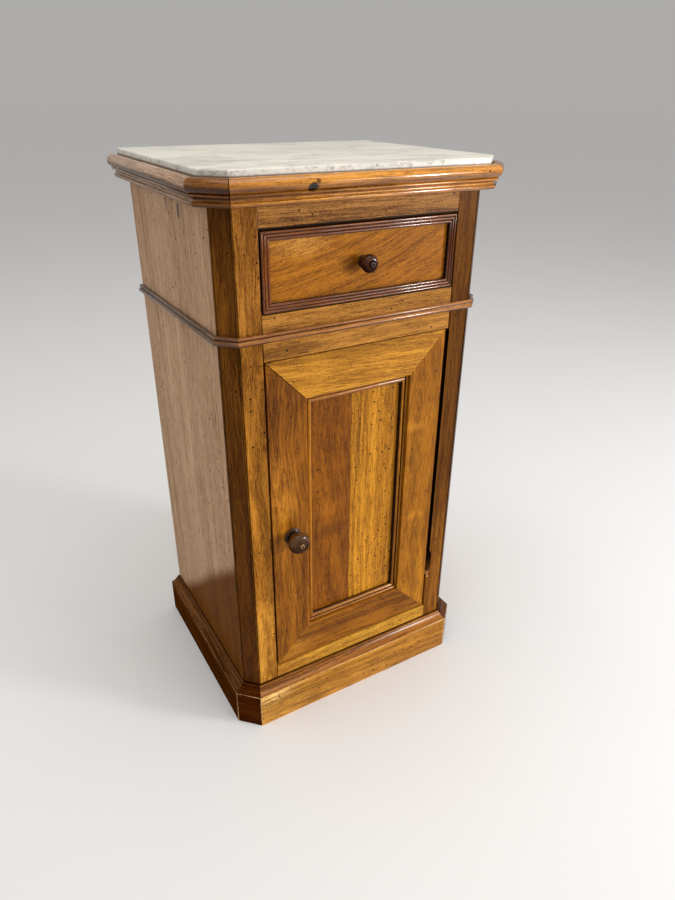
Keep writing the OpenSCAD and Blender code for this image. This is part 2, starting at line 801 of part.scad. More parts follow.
module door_knob() placed() color(dark_knob) {
    turned(door_knob_x, door_recess - turn_gap, door_knob_z)
        knob_outline(door_knob_r, door_knob_t, door_knob_reach - turn_gap, door_knob_foot_r);
    cross_cylinder(door_knob_x, [door_recess - turn_gap - over, button_in + button_t + spindle_end],
                   door_knob_z, spindle_r);
}

module turn_button() placed() color(red_brown) translate([door_knob_x, 0, door_knob_z])
    difference() {
        union() {
            cross_cylinder(0, [door_back + turn_gap, button_in + button_t], 0, boss_r);
            board([-button_w / 2, button_w / 2], [button_in, button_in + button_t],
                  [button_w / 2 - button_l, 0]);
            cross_cylinder(0, [button_in, button_in + button_t], button_w / 2 - button_l,
                           button_w / 2);
        }
        cross_cylinder(0, [0, body_d], 0, spindle_r);
    }

// ---- Drawer ------------------------------------------------------------------------------

// Dovetails in depth and z that point forward from a root line, spread over a height
module tails(root, length, z, h) {
    pitch = h / dovetail_count;
    half = pitch * dovetail_root / 2;
    spread = half + length * dovetail_slope;
    for (i = [0 : dovetail_count - 1])
        translate([root, z + (i + 0.5) * pitch])
            polygon([[0, -half], [0, half], [-length, spread], [-length, -spread]]);
}

module front_tails() tails(drawer_front_in, tail_l, drawer_side_z, drawer_side_h);

module back_tails() translate([2 * drawer_end - 2 * drawer_back_t, 0]) mirror([1, 0])
    tails(drawer_end - drawer_back_t, drawer_back_t, drawer_back_z, drawer_back_h);

// The grooves' room for the drawer bottom, which slides in under the drawer back
module bottom_room() {
    half = drawer_half - drawer_side_t + drawer_groove;
    board([-half, half], [drawer_front_in - drawer_groove, drawer_end + over],
          [drawer_bottom_z, drawer_back_z]);
}

module drawer_front() placed() color(light_honey) difference() {
    board([-drawer_half, drawer_half], [drawer_field_in, drawer_front_in],
          [drawer_low_z + drawer_gap, drawer_top_z - drawer_gap]);
    on_both_sides() side_cut(drawer_half - drawer_side_t, drawer_side_t + over) front_tails();
    bottom_groove();
    cross_cylinder(0, [drawer_field_in - over, drawer_field_in + knob_tenon_l],
                   (drawer_low_z + drawer_top_z) / 2, spindle_r);
}

// The groove in the drawer front stops between the sides
module bottom_groove() intersection() {
    bottom_room();
    board([drawer_side_t - drawer_half, drawer_half - drawer_side_t], [0, body_d],
          [0, overall_h]);
}

module drawer_side(side) placed() color(inside_wood) on_side(side) difference() {
    side_cut(drawer_half - drawer_side_t, drawer_side_t) {
        difference() {
            translate([drawer_front_in, drawer_side_z])
                square([drawer_end - drawer_front_in, drawer_side_h]);
            translate([drawer_end - drawer_back_t, drawer_back_z])
                square([drawer_back_t + over, drawer_back_h]);
        }
        front_tails();
        back_tails();
    }
    bottom_room();
}

module drawer_side_left() drawer_side("left");
module drawer_side_right() drawer_side("right");

module drawer_back() placed() color(inside_wood) difference() {
    board([-drawer_half, drawer_half], [drawer_end - drawer_back_t, drawer_end],
          [drawer_back_z, drawer_back_z + drawer_back_h]);
    on_both_sides() side_cut(drawer_half - drawer_side_t, drawer_side_t + over) back_tails();
}

module drawer_bottom() placed() color(inside_wood) {
    inner = drawer_half - drawer_side_t;
    half = inner + drawer_groove;
    translate([0, 0, drawer_bottom_z]) linear_extrude(drawer_bottom_t)
        polygon([[-inner, drawer_front_in - drawer_groove], [inner, drawer_front_in - drawer_groove],
                 [inner, drawer_front_in], [half, drawer_front_in],
                 [half, drawer_end], [-half, drawer_end],
                 [-half, drawer_front_in], [-inner, drawer_front_in]]);
}

module drawer_mould(side) placed() color(red_brown)
    frame_member(side, 2 * drawer_half, drawer_face_h, drawer_mould_w + behind,
                 0, drawer_field_in, (drawer_low_z + drawer_top_z) / 2)
        drawer_mould_profile();

module drawer_mould_top() drawer_mould("top");
module drawer_mould_bottom() drawer_mould("bottom");
module drawer_mould_left() drawer_mould("left");
module drawer_mould_right() drawer_mould("right");

module drawer_knob() placed() color(dark_knob) {
    mid_z = (drawer_low_z + drawer_top_z) / 2;
    turned(0, drawer_field_in, mid_z)
        knob_outline(drawer_knob_r, drawer_knob_t, drawer_knob_reach, drawer_knob_foot_r);
    cross_cylinder(0, [drawer_field_in - over, drawer_field_in + knob_tenon_l], mid_z, spindle_r);
}

marble_top();
cornice_front();
cornice_left();
cornice_right();
cornice_cant_left();
cornice_cant_right();
string_front();
string_left();
string_right();
string_cant_left();
string_cant_right();
plinth_front();
plinth_left();
plinth_right();
plinth_cant_left();
plinth_cant_right();
corner_post_left();
corner_post_right();
side_board_left();
side_board_right();
top_rail();
middle_rail();
bottom_rail();
back_rails();
back_boards();
cupboard_floor();
shelf();
battens();
dust_board();
drawer_runners();
drawer_guides();
drawer_kickers();
glue_blocks();
door_stop();
socket_plates();
socket_screws();
drawer_front();
drawer_side_left();
drawer_side_right();
drawer_back();
drawer_bottom();
drawer_mould_top();
drawer_mould_bottom();
drawer_mould_left();
drawer_mould_right();
drawer_knob();
door_stile_left();
door_stile_right();
door_rail_top();
door_rail_bottom();
door_panel_left();
door_panel_right();
door_bead_top();
door_bead_bottom();
door_bead_left();
door_bead_right();
pivot_plates();
pivot_screws();
door_knob();
turn_button();
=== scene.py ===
import json
import math

import bmesh
import bpy
from mathutils import Matrix, Vector

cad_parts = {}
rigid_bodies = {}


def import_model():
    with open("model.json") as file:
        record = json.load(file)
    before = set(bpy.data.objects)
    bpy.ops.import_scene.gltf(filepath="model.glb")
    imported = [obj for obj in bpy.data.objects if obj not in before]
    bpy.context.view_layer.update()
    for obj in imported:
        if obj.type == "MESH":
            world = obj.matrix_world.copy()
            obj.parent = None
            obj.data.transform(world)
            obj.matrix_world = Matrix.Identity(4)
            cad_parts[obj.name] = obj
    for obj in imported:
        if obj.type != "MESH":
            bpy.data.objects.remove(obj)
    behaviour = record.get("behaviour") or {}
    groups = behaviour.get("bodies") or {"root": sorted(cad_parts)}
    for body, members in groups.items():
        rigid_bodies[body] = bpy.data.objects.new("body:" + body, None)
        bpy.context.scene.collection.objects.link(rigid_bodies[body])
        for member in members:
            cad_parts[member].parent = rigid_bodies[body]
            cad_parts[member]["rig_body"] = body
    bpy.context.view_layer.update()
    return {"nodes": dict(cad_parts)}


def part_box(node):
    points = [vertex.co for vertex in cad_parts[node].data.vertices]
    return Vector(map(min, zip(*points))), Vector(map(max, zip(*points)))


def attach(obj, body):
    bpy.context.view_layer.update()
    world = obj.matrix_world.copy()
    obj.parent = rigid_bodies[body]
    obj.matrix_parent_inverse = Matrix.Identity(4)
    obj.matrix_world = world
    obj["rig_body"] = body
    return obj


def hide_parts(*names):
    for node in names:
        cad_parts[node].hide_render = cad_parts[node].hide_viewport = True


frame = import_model()
cadNodes = frame["nodes"]
print("frame loaded:", len(cadNodes), "nodes")

# lines of the body that finishes and pieces are placed by
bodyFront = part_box("corner_post_left")[0].y
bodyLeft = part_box("side_board_left")[0].x
openLeft = -0.135
cantLeg = 0.018
cantFront = bodyLeft + cantLeg                      # where the cant meets the front
cantSide = bodyFront + cantLeg                      # and the side
plinthReach = 0.0155                                # how far the plinth stands out
plinthFront = bodyFront - plinthReach
doorFront, panelFront, corniceFront = -0.1385, -0.1275, -0.1665
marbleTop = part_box("marble_top")[1].z
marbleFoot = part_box("marble_top")[0].z
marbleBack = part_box("marble_top")[1].y


class Wire:                                         # one socket, so that maths reads as maths
    def __init__(self, shade, socket):
        self.shade, self.socket = shade, socket

    def maths(self, kind, *values):
        return self.shade.add("ShaderNodeMath", {"operation": kind}, dict(enumerate(values)))

    def __add__(self, other):
        return self.maths("ADD", self, other)

    def __sub__(self, other):
        return self.maths("SUBTRACT", self, other)

    def __mul__(self, other):
        return self.maths("MULTIPLY", self, other)

    def __truediv__(self, other):
        return self.maths("DIVIDE", self, other)

    def __radd__(self, other):
        return self.maths("ADD", other, self)

    def __rsub__(self, other):
        return self.maths("SUBTRACT", other, self)

    def __rmul__(self, other):
        return self.maths("MULTIPLY", other, self)

    def __lt__(self, other):
        return self.maths("LESS_THAN", self, other)

    def __pow__(self, other):
        return self.maths("POWER", self, other)

    def __abs__(self):
        return self.maths("ABSOLUTE", self)


class Shade:                                        # one material and the nodes in it
    def __init__(self, name):
        self.material = bpy.data.materials.new(name)
        self.material.use_nodes = True
        self.tree = self.material.node_tree
        self.tree.nodes.clear()
        self.place = self.add("ShaderNodeTexCoord", {}, {}, "Object")

    def add(self, kind, settings, inputs, out=0):
        node = self.tree.nodes.new(kind)
        for name, value in settings.items():
            if name == "stops":
                stops = node.color_ramp.elements
                while len(stops) < len(value):
                    stops.new(0.5)
                for stop, (at, colour) in zip(stops, value):
                    stop.position, stop.color = at, colour
            else:
                setattr(node, name, value)
        for name, value in inputs.items():
            if isinstance(value, Wire):
                self.tree.links.new(value.socket, node.inputs[name])
            else:
                node.inputs[name].default_value = value
        return Wire(self, node.outputs[out]) if node.outputs else node

    def mix(self, first, second, share, blend="MIX"):
        return self.add("ShaderNodeMix", {"data_type": "RGBA", "blend_type": blend},
                        {0: share, 6: first, 7: second}, 2)

    def tinge(self, colour, base, wash, share):     # towards a wash, and the grain still shows
        tint = [part / max(whole, 0.002) for part, whole in zip(tone(*wash), base)]
        return self.mix(colour, (*tint[:3], 1), share, "MULTIPLY")

    def smooth(self, value, low, high):             # 0 below low, 1 above high, or turned round
        return self.add("ShaderNodeMapRange", {"interpolation_type": "SMOOTHSTEP"},
                        {"Value": value, "From Min": low, "From Max": high})

    def noise(self, vector, scale, detail=3.0, rough=0.5, out=0):
        return self.add("ShaderNodeTexNoise", {}, {"Vector": vector, "Scale": scale,
                        "Detail": detail, "Roughness": rough}, out)

    def stretch(self, vector, scale, shift=(0, 0, 0), turn=(0, 0, 0)):
        return self.add("ShaderNodeMapping", {}, {"Vector": vector, "Location": shift,
                        "Rotation": turn, "Scale": scale})

    def vector(self, kind, first, second, out=0):
        return self.add("ShaderNodeVectorMath", {"operation": kind}, {0: first, 1: second}, out)

    def parts(self, vector):
        node = self.tree.nodes.new("ShaderNodeSeparateXYZ")
        self.tree.links.new(vector.socket, node.inputs[0])
        return [Wire(self, output) for output in node.outputs]

    def join(self, x, y, z):
        return self.add("ShaderNodeCombineXYZ", {}, {0: x, 1: y, 2: z})

    def facing(self):                               # which way the surface looks
        return self.parts(self.add("ShaderNodeTexCoord", {}, {}, "Normal"))

    def painted(self, name):                        # a value carried by the mesh
        return self.add("ShaderNodeAttribute", {"attribute_name": name}, {}, "Fac")

    def finish(self, colour, rough, height, bump, depth, **fixed):
        inputs = {"Base Color": colour, "Roughness": rough, "Normal": self.add(
            "ShaderNodeBump", {}, {"Strength": bump, "Distance": depth, "Height": height})}
        inputs.update({name.replace("_", " "): value for name, value in fixed.items()})
        surface = self.add("ShaderNodeBsdfPrincipled", {}, inputs)
        self.add("ShaderNodeOutputMaterial", {}, {"Surface": surface})
        return self.material


def tone(red, green, blue):                         # a screen colour of 0 to 255 as linear light
    def linear(level):
        level /= 255
        return level / 12.92 if level <= 0.04045 else ((level + 0.055) / 1.055) ** 2.4
    return (linear(red), linear(green), linear(blue), 1)


def tinted(colour, red, green, blue):
    return (colour[0] * red, colour[1] * green, colour[2] * blue, 1)


blackish = tone(14, 7, 3)
soil = tone(34, 18, 7)
hairline = (0.36, 0.29, 0.2, 1)                     # these darken the wood that they lie on
pore = (0.34, 0.26, 0.18, 1)
smudgy = (0.6, 0.53, 0.42, 1)
# underShadeTint is painted shade, for faces that look downwards
underShadeTint = (0.3, 0.23, 0.16, 1)
# turnedUnderShadeTint is painted shade, for the knobs' downward faces
turnedUnderShadeTint = (0.2, 0.15, 0.11, 1)
# painted shade for the cant faces, from their top to their foot
cantShadeHigh, cantShadeLow = (0.34, 0.3, 0.2, 1), (0.2, 0.13, 0.015, 1)
# how far red, green and blue leave the wood's colour, from its darkest grain to its palest
walnutTones = {0.08: (-0.62, -0.7, -0.8), 0.38: (-0.24, -0.28, -0.34), 0.6: (0.2, 0.22, 0.24),
               0.92: (0.55, 0.64, 0.8)}
ruledWash = 0.005                                   # a wash no wider than this has a clean edge
smallSpot = 110                                     # spots that reach this many per metre are crisp
grainTurn = {"x": (0, 0, 0), "y": (0, 0, -math.pi / 2), "z": (0, math.pi / 2, 0),
             "cantLeft": (0, 0, math.pi / 4), "cantRight": (0, 0, -math.pi / 4)}


def washed(shade, colour, base, washes, smudge):
    # each wash comes in along its direction, from where it starts to where it is full
    for weights, start, full, wash, share in washes:
        across = shade.vector("DOT_PRODUCT", shade.place, weights, "Value")
        if abs(full - start) > ruledWash:
            across = across + (smudge - 0.5) * (abs(full - start) * 0.8)
        colour = shade.tinge(colour, base, wash, shade.smooth(across, start, full) * share)
    return colour


def spotted(shade, colour, base, spots, ragged):
    for point, reach, wash, share in spots:
        near = shade.vector("MULTIPLY", shade.vector("SUBTRACT", shade.place, point), reach)
        span = shade.add("ShaderNodeVectorMath", {"operation": "LENGTH"}, {0: near}, "Value")
        soft = 0.1 if max(reach) < smallSpot else 0.75
        ring = shade.smooth(span + (ragged - 0.5) * 0.8, 1.15, soft) * share
        colour = shade.tinge(colour, base, wash, ring)
    return colour


def wormHoles(shade, faces, face, seed, holes):
    # they come in herds, in the faces that lie in the board's own plane
    x, y, z = shade.parts(shade.place)
    across, up, level = {"xz": (x, z, faces[1]), "yz": (y, z, faces[0]),
                         "xy": (x, y, faces[2])}[face]
    spot = shade.join(across + seed * 0.17, up, seed * 3.0)
    cell = {"Vector": spot, "Scale": 62.0, "Randomness": 1.0}
    flat = {"voronoi_dimensions": "2D"}
    near = shade.add("ShaderNodeTexVoronoi", flat, cell, "Distance")
    picks = shade.parts(shade.add("ShaderNodeTexVoronoi", flat, cell, "Color"))
    herd = shade.smooth(shade.noise(spot, 11, 1.0, 0.5), 0.36, 0.6)
    size = picks[1] * 0.04 + 0.054
    return (picks[0] < herd * holes * 2) * (near < size) * (1 - (abs(level) < 0.6))


# heart and band place the growth rings, and slope, bow, tilt, centre and sway bend them. spread,
# streak, figure, ink, grit and holes say how strongly each mark shows. dirt, wear, cant and
# under follow the mesh, cant and under being painted shade, and washes and spots
# change the colour of a part of the piece.
def walnut(name, colour, spread=1.0, grain="z", face="xz", seed=1, heart=(-0.09, 0), band=0.009,
           slope=0.06, bow=0.0, tilt=0.0, centre=None, sway=0.03, streak=1.0, figure=0.05, ink=0.45,
           holes=0.06, gloss=0.36, sheen=0.1, grit=0.46, dirt=0.85, dirtFrom=0.3, wear=0.7,
           worn=(222, 182, 128), washes=(), spots=(), cant=0, under=0.0, bump=0.4):
    shade = Shade(name)
    place = shade.place
    shift = (seed * 0.37, seed * 0.73, seed * 1.31)
    wood = shade.vector("SUBTRACT", place, centre) if centre else place
    wood = shade.stretch(wood, (1, 1, 1), (0, 0, 0), grainTurn[grain])
    if tilt:                                        # sawn a little across the grain
        turn = (0, tilt, 0) if face == "xz" else (0, 0, tilt)
        wood = shade.stretch(wood, (1, 1, 1), (0, 0, 0), turn)
    slow = shade.stretch(wood, (2.4, 7, 7), shift)
    sways = shade.parts(shade.noise(slow, 1.0, 3.0, 0.5, "Color"))
    along, low, high = shade.parts(wood)
    low = low + (sways[0] - 0.5) * sway
    high = high + (sways[1] - 0.5) * sway
    if bow:
        high = high - along * along * bow
    # growth rings round a heart behind the board
    away = ((low - along * slope - heart[0]) ** 2 + (high - heart[1]) ** 2) ** 0.5
    rings = shade.noise(shade.join(along * 0.9 + seed, away / band, seed), 1.0, 4.0, 0.6)
    bent = shade.join(along, low, high)
    streaks = shade.noise(shade.stretch(bent, (1.5, 80, 80), shift), 1.0, 3.0, 0.6)
    lines = shade.noise(shade.stretch(bent, (3.2, 310, 310), shift), 1.0, 2.0, 0.65)
    fibres = shade.noise(shade.stretch(bent, (22, 900, 900), shift), 1.0, 2.0, 0.6)
    grains = shade.noise(shade.stretch(wood, (520, 1500, 1500), shift), 1.0, 1.0, 0.5)
    patches = shade.noise(shade.stretch(wood, (5, 12, 12), shift), 1.0, 3.0, 0.55)
    flame = shade.noise(shade.stretch(bent, (30, 13, 13), shift), 1.0, 2.0, 0.5)
    value = (rings * 0.5 + streaks * (0.5 * streak) + lines * (0.42 * streak) + fibres * 0.44
             + grains * grit + patches * 0.16 + flame * figure)
    middle = (1.1 + grit + 0.92 * streak + figure) / 2
    value = (value - middle) * 2.2 + 0.5
    base = tone(*colour)
    stops = [(at, tinted(base, *(1 + part * spread for part in parts)))
             for at, parts in walnutTones.items()]
    colour = shade.add("ShaderNodeValToRGB", {"stops": stops}, {0: value})
    # dark hairlines, short pores and smudges
    inks = shade.noise(shade.stretch(bent, (3.0, 230, 230), shift), 1.0, 4.0, 0.6)
    colour = shade.mix(colour, hairline, shade.smooth(inks, 0.57, 0.7) * ink, "MULTIPLY")
    ticks = shade.noise(shade.stretch(wood, (60, 1050, 1050), shift), 1.0, 1.0, 0.5)
    colour = shade.mix(colour, pore, shade.smooth(ticks, 0.56, 0.68) * 0.75, "MULTIPLY")
    smudge = shade.noise(shade.stretch(place, (1, 1, 1), shift), 13, 5.0, 0.62)
    colour = shade.mix(colour, smudgy, shade.smooth(smudge, 0.54, 0.78) * 0.45, "MULTIPLY")
    rough = gloss + (fibres - 0.5) * 0.18 + (smudge - 0.5) * 0.3
    ragged = shade.noise(place, 210, 4.0, 0.65)
    colour = washed(shade, colour, base, washes, smudge)
    faces = shade.facing()
    if under:                                       # painted shade: faces that look downwards are darkened
        underShadeMask = shade.smooth(faces[2], 0.05, -0.45) * under
        colour = shade.mix(colour, underShadeTint, underShadeMask, "MULTIPLY")
    if cant:                                        # painted shade on the sloping cant faces, darkest towards the foot
        cantShadeMask = shade.smooth(abs(faces[0] * faces[1]), 0.2, 0.4)
        cantShadeLowDown = shade.smooth(shade.parts(place)[2], 0.5, 0.1)
        colour = shade.mix(colour, shade.mix(cantShadeHigh, cantShadeLow, cantShadeLowDown), cantShadeMask * cant, "MULTIPLY")
    colour = spotted(shade, colour, base, spots, ragged)
    grime = shade.smooth(shade.painted("grime") + (ragged - 0.5) * 0.9, dirtFrom, dirtFrom + 0.6)
    colour = shade.mix(colour, soil, grime * dirt)
    rub = shade.painted("rub") + (ragged - 0.5) * 1.3 + (smudge - 0.5) * 2.2
    colour = shade.mix(colour, tone(*worn), shade.smooth(rub, 0.5, 0.95) * wear)
    bore = wormHoles(shade, faces, face, seed, holes)
    colour = shade.mix(colour, blackish, bore * 0.96)
    height = (fibres * 0.4 + ticks * 0.25 + streaks * 0.3 + patches * 0.8 - bore * 3
              + ragged * 0.15)
    return shade.finish(colour, rough, height, bump, 0.0004, Specular_IOR_Level=sheen)


def plainWood(name, pale, deep, grain="y", seed=1):
    shade = Shade(name)
    shift = (seed * 0.61, seed * 0.29, seed * 0.83)
    wood = shade.stretch(shade.place, (1, 1, 1), (0, 0, 0), grainTurn[grain])
    broad = shade.noise(shade.stretch(wood, (2.0, 60, 60), shift), 1.0, 8.0, 0.68)
    fine = shade.noise(shade.stretch(wood, (14, 420, 420), shift), 1.0, 3.0, 0.6)
    grime = shade.noise(shade.place, 24, 6.0, 0.66)
    colour = shade.mix(tone(*deep), tone(*pale), shade.smooth(broad * 0.7 + fine * 0.3, 0.38, 0.62))
    colour = shade.mix(colour, tone(92, 70, 46), shade.smooth(grime, 0.5, 0.78) * 0.35)
    dark = shade.smooth(shade.painted("grime") + (grime - 0.5), 0.3, 1.0)
    colour = shade.mix(colour, tone(84, 62, 40), dark * 0.6)
    return shade.finish(colour, 0.62 + (fine - 0.5) * 0.2, fine * 0.6 + broad * 0.4, 0.4, 0.0004,
                        Specular_IOR_Level=0.3)


def marbleFinish():
    shade = Shade("marble")
    y, z = shade.parts(shade.place)[1:]
    bent = shade.noise(shade.place, 5.0, 3.0, 0.55, "Color")
    drift = shade.add("ShaderNodeVectorMath", {"operation": "MULTIPLY_ADD"},
                      {0: bent, 1: (0.12, 0.12, 0.12), 2: shade.place})
    clouds = shade.noise(shade.stretch(drift, (9, 14, 9)), 1.0, 6.0, 0.62)
    drawn = shade.stretch(shade.place, (7, 60, 30), (0.4, 0, 0), (0, 0, 0.05))
    streaks = shade.noise(drawn, 1.0, 4.0, 0.6)
    veins = shade.noise(shade.stretch(drift, (5, 15, 9), (0.3, 0.1, 0.2), (0, 0, 0.5)),
                        1.0, 5.0, 0.6)
    thread = shade.smooth(abs(veins - 0.5), 0.035, 0.0)
    speck = shade.smooth(shade.noise(shade.place, 420, 2.0, 0.7), 0.64, 0.72)
    colour = shade.mix(tone(240, 233, 215), tone(214, 210, 196), shade.smooth(clouds, 0.4, 0.66))
    colour = shade.mix(colour, tone(190, 186, 174), shade.smooth(streaks, 0.5, 0.7) * 0.55)
    colour = shade.mix(colour, tone(168, 166, 160), thread * 0.4)
    colour = shade.mix(colour, tone(140, 128, 108), speck * 0.3)
    # the edge is cooler, grimy towards its foot, with small dark chips along the arris
    side = shade.smooth(z, marbleTop - 0.0004, marbleTop - 0.0022)
    chips = shade.noise(shade.stretch(shade.place, (1, 1, 1.4)), 130, 4.0, 0.62)
    colour = shade.mix(colour, tone(203, 201, 194), side * 0.75)
    colour = shade.mix(colour, tone(142, 130, 110), shade.smooth(chips, 0.48, 0.66) * side * 0.6)
    brow = side * shade.smooth(z, marbleTop - 0.0055, marbleTop - 0.0035)
    chip = shade.smooth(chips, 0.65, 0.7) * brow
    colour = shade.mix(colour, tone(86, 74, 58), chip * 0.85)
    foot = shade.smooth(z, marbleFoot + 0.0146, marbleFoot + 0.013) * (y < marbleBack - 0.001)
    colour = shade.mix(colour, tone(96, 72, 48), foot * 0.85)
    height = clouds * 0.2 - chip * 1.5 - speck * 0.2 + chips * side * 0.5
    return shade.finish(colour, 0.36 + (clouds - 0.5) * 0.2, height, 0.3, 0.0005,
                        Specular_IOR_Level=0.4)


def ironFinish():
    shade = Shade("iron")
    rust = shade.noise(shade.place, 260, 4.0, 0.6)
    colour = shade.mix(tone(58, 55, 52), tone(92, 62, 44), shade.smooth(rust, 0.45, 0.7))
    return shade.finish(colour, 0.45 + rust * 0.25, rust, 0.4, 0.0002, Metallic=0.85)


def turnedWood(name, colour, gloss, tip=None):
    shade = Shade(name)
    broad = shade.noise(shade.stretch(shade.place, (90, 90, 260)), 1.0, 4.0, 0.6)
    fine = shade.noise(shade.stretch(shade.place, (320, 320, 1500)), 1.0, 2.0, 0.6)
    base = tone(*colour)
    value = (broad * 0.7 + fine * 0.3 - 0.5) * 2.4 + 0.5
    colour = shade.add("ShaderNodeValToRGB", {"stops": [
        (0.1, tinted(base, 0.35, 0.3, 0.28)), (0.5, base), (0.95, tinted(base, 1.9, 2.1, 2.1))]},
        {0: value})
    facing = shade.facing()
    # painted shade: the knob's faces that look downwards are darkened
    underShadeMask = shade.smooth(facing[2], 0.35, -0.5)
    colour = shade.mix(colour, turnedUnderShadeTint, underShadeMask, "MULTIPLY")
    if tip:                                         # the button at the end has lost its stain
        place, radius, worn, share = tip
        x, y, z = shade.parts(shade.place)
        out = ((x - place[0]) ** 2 + (z - place[1]) ** 2) ** 0.5
        colour = shade.mix(colour, tone(*worn), (out < radius) * (y < place[2]) * share)
    grime = shade.smooth(shade.painted("grime") + (broad - 0.5) * 0.6, 0.3, 0.9)
    colour = shade.mix(colour, blackish, grime * 0.9)
    polish = shade.smooth(facing[2], -0.1, 0.3) * 0.55
    return shade.finish(colour, gloss + (fine - 0.5) * 0.12, fine, 0.2, 0.0002, Coat_Weight=polish,
                        Specular_IOR_Level=0.06, Coat_Roughness=0.22)


def nameFor(node):                                  # corner_post_left becomes cornerPostLeft
    words = node.split("_")
    return words[0] + "".join(word.capitalize() for word in words[1:])


def inOrder(bm):                                    # bmesh's own order changes from run to run
    spots = {vert: tuple(vert.co) for vert in bm.verts}
    spots.update({face: tuple(face.calc_center_median()) for face in bm.faces})
    for elements in (bm.verts, bm.faces):
        ranks = {one: rank for rank, one in enumerate(sorted(elements, key=spots.get))}
        elements.sort(key=ranks.get)


def standIn(bm, node, material, hardAngle=32):
    # turns a bmesh into the piece that stands for a CAD node
    bmesh.ops.recalc_face_normals(bm, faces=bm.faces)
    hard = math.radians(hardAngle)
    for face in bm.faces:
        face.smooth = True
    for edge in bm.edges:
        edge.smooth = len(edge.link_faces) == 2 and edge.calc_face_angle(0) < hard
    inOrder(bm)
    mesh = bpy.data.meshes.new(nameFor(node))
    bm.to_mesh(mesh)
    bm.free()
    mesh.materials.append(material)
    piece = bpy.data.objects.new(nameFor(node), mesh)
    bpy.context.scene.collection.objects.link(piece)
    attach(piece, cadNodes[node]["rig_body"])
    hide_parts(node)
    return piece


def merged(node):
    bm = bmesh.new()
    bm.from_mesh(cadNodes[node].data)
    bmesh.ops.remove_doubles(bm, verts=bm.verts, dist=2e-5)
    bmesh.ops.dissolve_limit(bm, angle_limit=math.radians(0.6), verts=bm.verts, edges=bm.edges,
                             use_dissolve_boundaries=False, delimit=set())
    return bm


def corners(bm, sharp=38):
    return [edge for edge in bm.edges
            if len(edge.link_faces) == 2 and edge.calc_face_angle(0) > math.radians(sharp)]


def rounded(bm, edges, size, steps):
    if edges:
        bmesh.ops.bevel(bm, geom=edges, offset=size, offset_type="OFFSET", segments=steps,
                        profile=0.5, affect="EDGES", clamp_overlap=True, material=-1)


def isOn(point, axis, first, second, slack):        # near a line that runs along an axis
    spare = {"x": (1, 2), "y": (0, 2), "z": (0, 1)}[axis]
    return abs(point[spare[0]] - first) < slack and abs(point[spare[1]] - second) < slack


leastFlat = 0.0003                                  # square metres: smaller faces take no rim


def flats(bm):                                      # the flat faces, joined where they lie level
    left, groups = dict.fromkeys(bm.faces), []
    while left:
        group, edgeOn = [], [left.popitem()[0]]
        while edgeOn:
            face = edgeOn.pop()
            group.append(face)
            for edge in face.edges:
                for other in edge.link_faces:
                    if other in left and other.normal.dot(face.normal) > 0.9999:
                        del left[other]
                        edgeOn.append(other)
        if sum(face.calc_area() for face in group) > leastFlat:
            groups.append(group)
    return groups


def rimmed(bm, width, lines):
    # a narrow ring round the flat faces: grime or rubbing is 1 on its outer side, 0 on its inner
    outer = set(bm.verts)
    bm.normal_update()
    for group in flats(bm):
        bmesh.ops.inset_region(bm, faces=group, thickness=width, use_boundary=True)
    grime = bm.verts.layers.float.new("grime")
    rub = bm.verts.layers.float.new("rub")
    for vert in bm.verts:
        rubbed = any(isOn(vert.co, *line, 0.0016) for line in lines)
        vert[rub] = float(vert in outer and rubbed)
        vert[grime] = float(vert in outer and not rubbed)


def strips(piece, looks):                           # some faces of a piece take another finish
    for number, (belongs, material) in enumerate(looks, 1):
        piece.data.materials.append(material)
        for face in piece.data.polygons:
            if belongs(face.center, face.normal):
                face.material_index = number


arrisSize, rimWidth = 0.0011, 0.0014


def boardPiece(node, material, ease=0.0005, arrises=(), change=None, looks=()):
    # a flat piece: its arrises are rounded more than its other edges, and worn
    bm = merged(node)
    if change:
        change(bm)
    worn = [edge for edge in corners(bm)
            if any(all(isOn(vert.co, *line, 0.0005) for vert in edge.verts) for line in arrises)]
    rounded(bm, worn, arrisSize, 4)
    rounded(bm, corners(bm, 55), ease, 2)
    rimmed(bm, rimWidth, arrises)
    piece = standIn(bm, node, material)
    strips(piece, looks)
    return piece


def profilePiece(node, material, ease=0.0003, rubs=(), change=None, dirty="", rubLevel=None,
                 looks=()):
    # a moulding: grime lies in its hollows, and along the sides named in dirty
    bm = merged(node)
    low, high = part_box(node)
    if change:
        change(bm)
    rounded(bm, [edge for edge in corners(bm, 50) if edge.is_convex], ease, 2)
    grime = bm.verts.layers.float.new("grime")
    rub = bm.verts.layers.float.new("rub")
    for edge in corners(bm, 25):
        if not edge.is_convex:
            for vert in edge.verts:
                vert[grime] = 1.0
    for vert in bm.verts:
        onLevel = rubLevel and abs(vert.co.z - rubLevel) < 0.0009
        if onLevel or any(isOn(vert.co, *line, 0.0011) for line in rubs):
            vert[rub] = 1.0
        for axis in dirty:
            across = "xyz".index(axis)
            if min(vert.co[across] - low[across], high[across] - vert.co[across]) < 4e-4:
                vert[grime] = 1.0
    piece = standIn(bm, node, material)
    strips(piece, looks)
    return piece


def cutPlane(bm, point, normal):                    # extra edges where a plane crosses the piece
    bmesh.ops.bisect_plane(bm, geom=[*bm.verts, *bm.edges, *bm.faces], dist=1e-6,
                           plane_co=point, plane_no=normal)


def cutLevel(bm, axis, *levels):
    for level in levels:
        spot = [level if name == axis else 0 for name in "xyz"]
        cutPlane(bm, spot, [float(name == axis) for name in "xyz"])


# carcass
gapFoot, gapTop = 0.092, 0.567                      # the reach of the door beside the posts
leftEase, rightEase = 0.0012, 0.0022                # how far the gap stands open on either side


def pareLeftPost(bm):                               # the joint beside the door has been eased
    cutLevel(bm, "z", gapFoot, gapTop)
    for vert in bm.verts:
        if abs(vert.co.x - openLeft) < 1e-4 and gapFoot - 1e-4 < vert.co.z < gapTop + 1e-4:
            vert.co.x -= leftEase


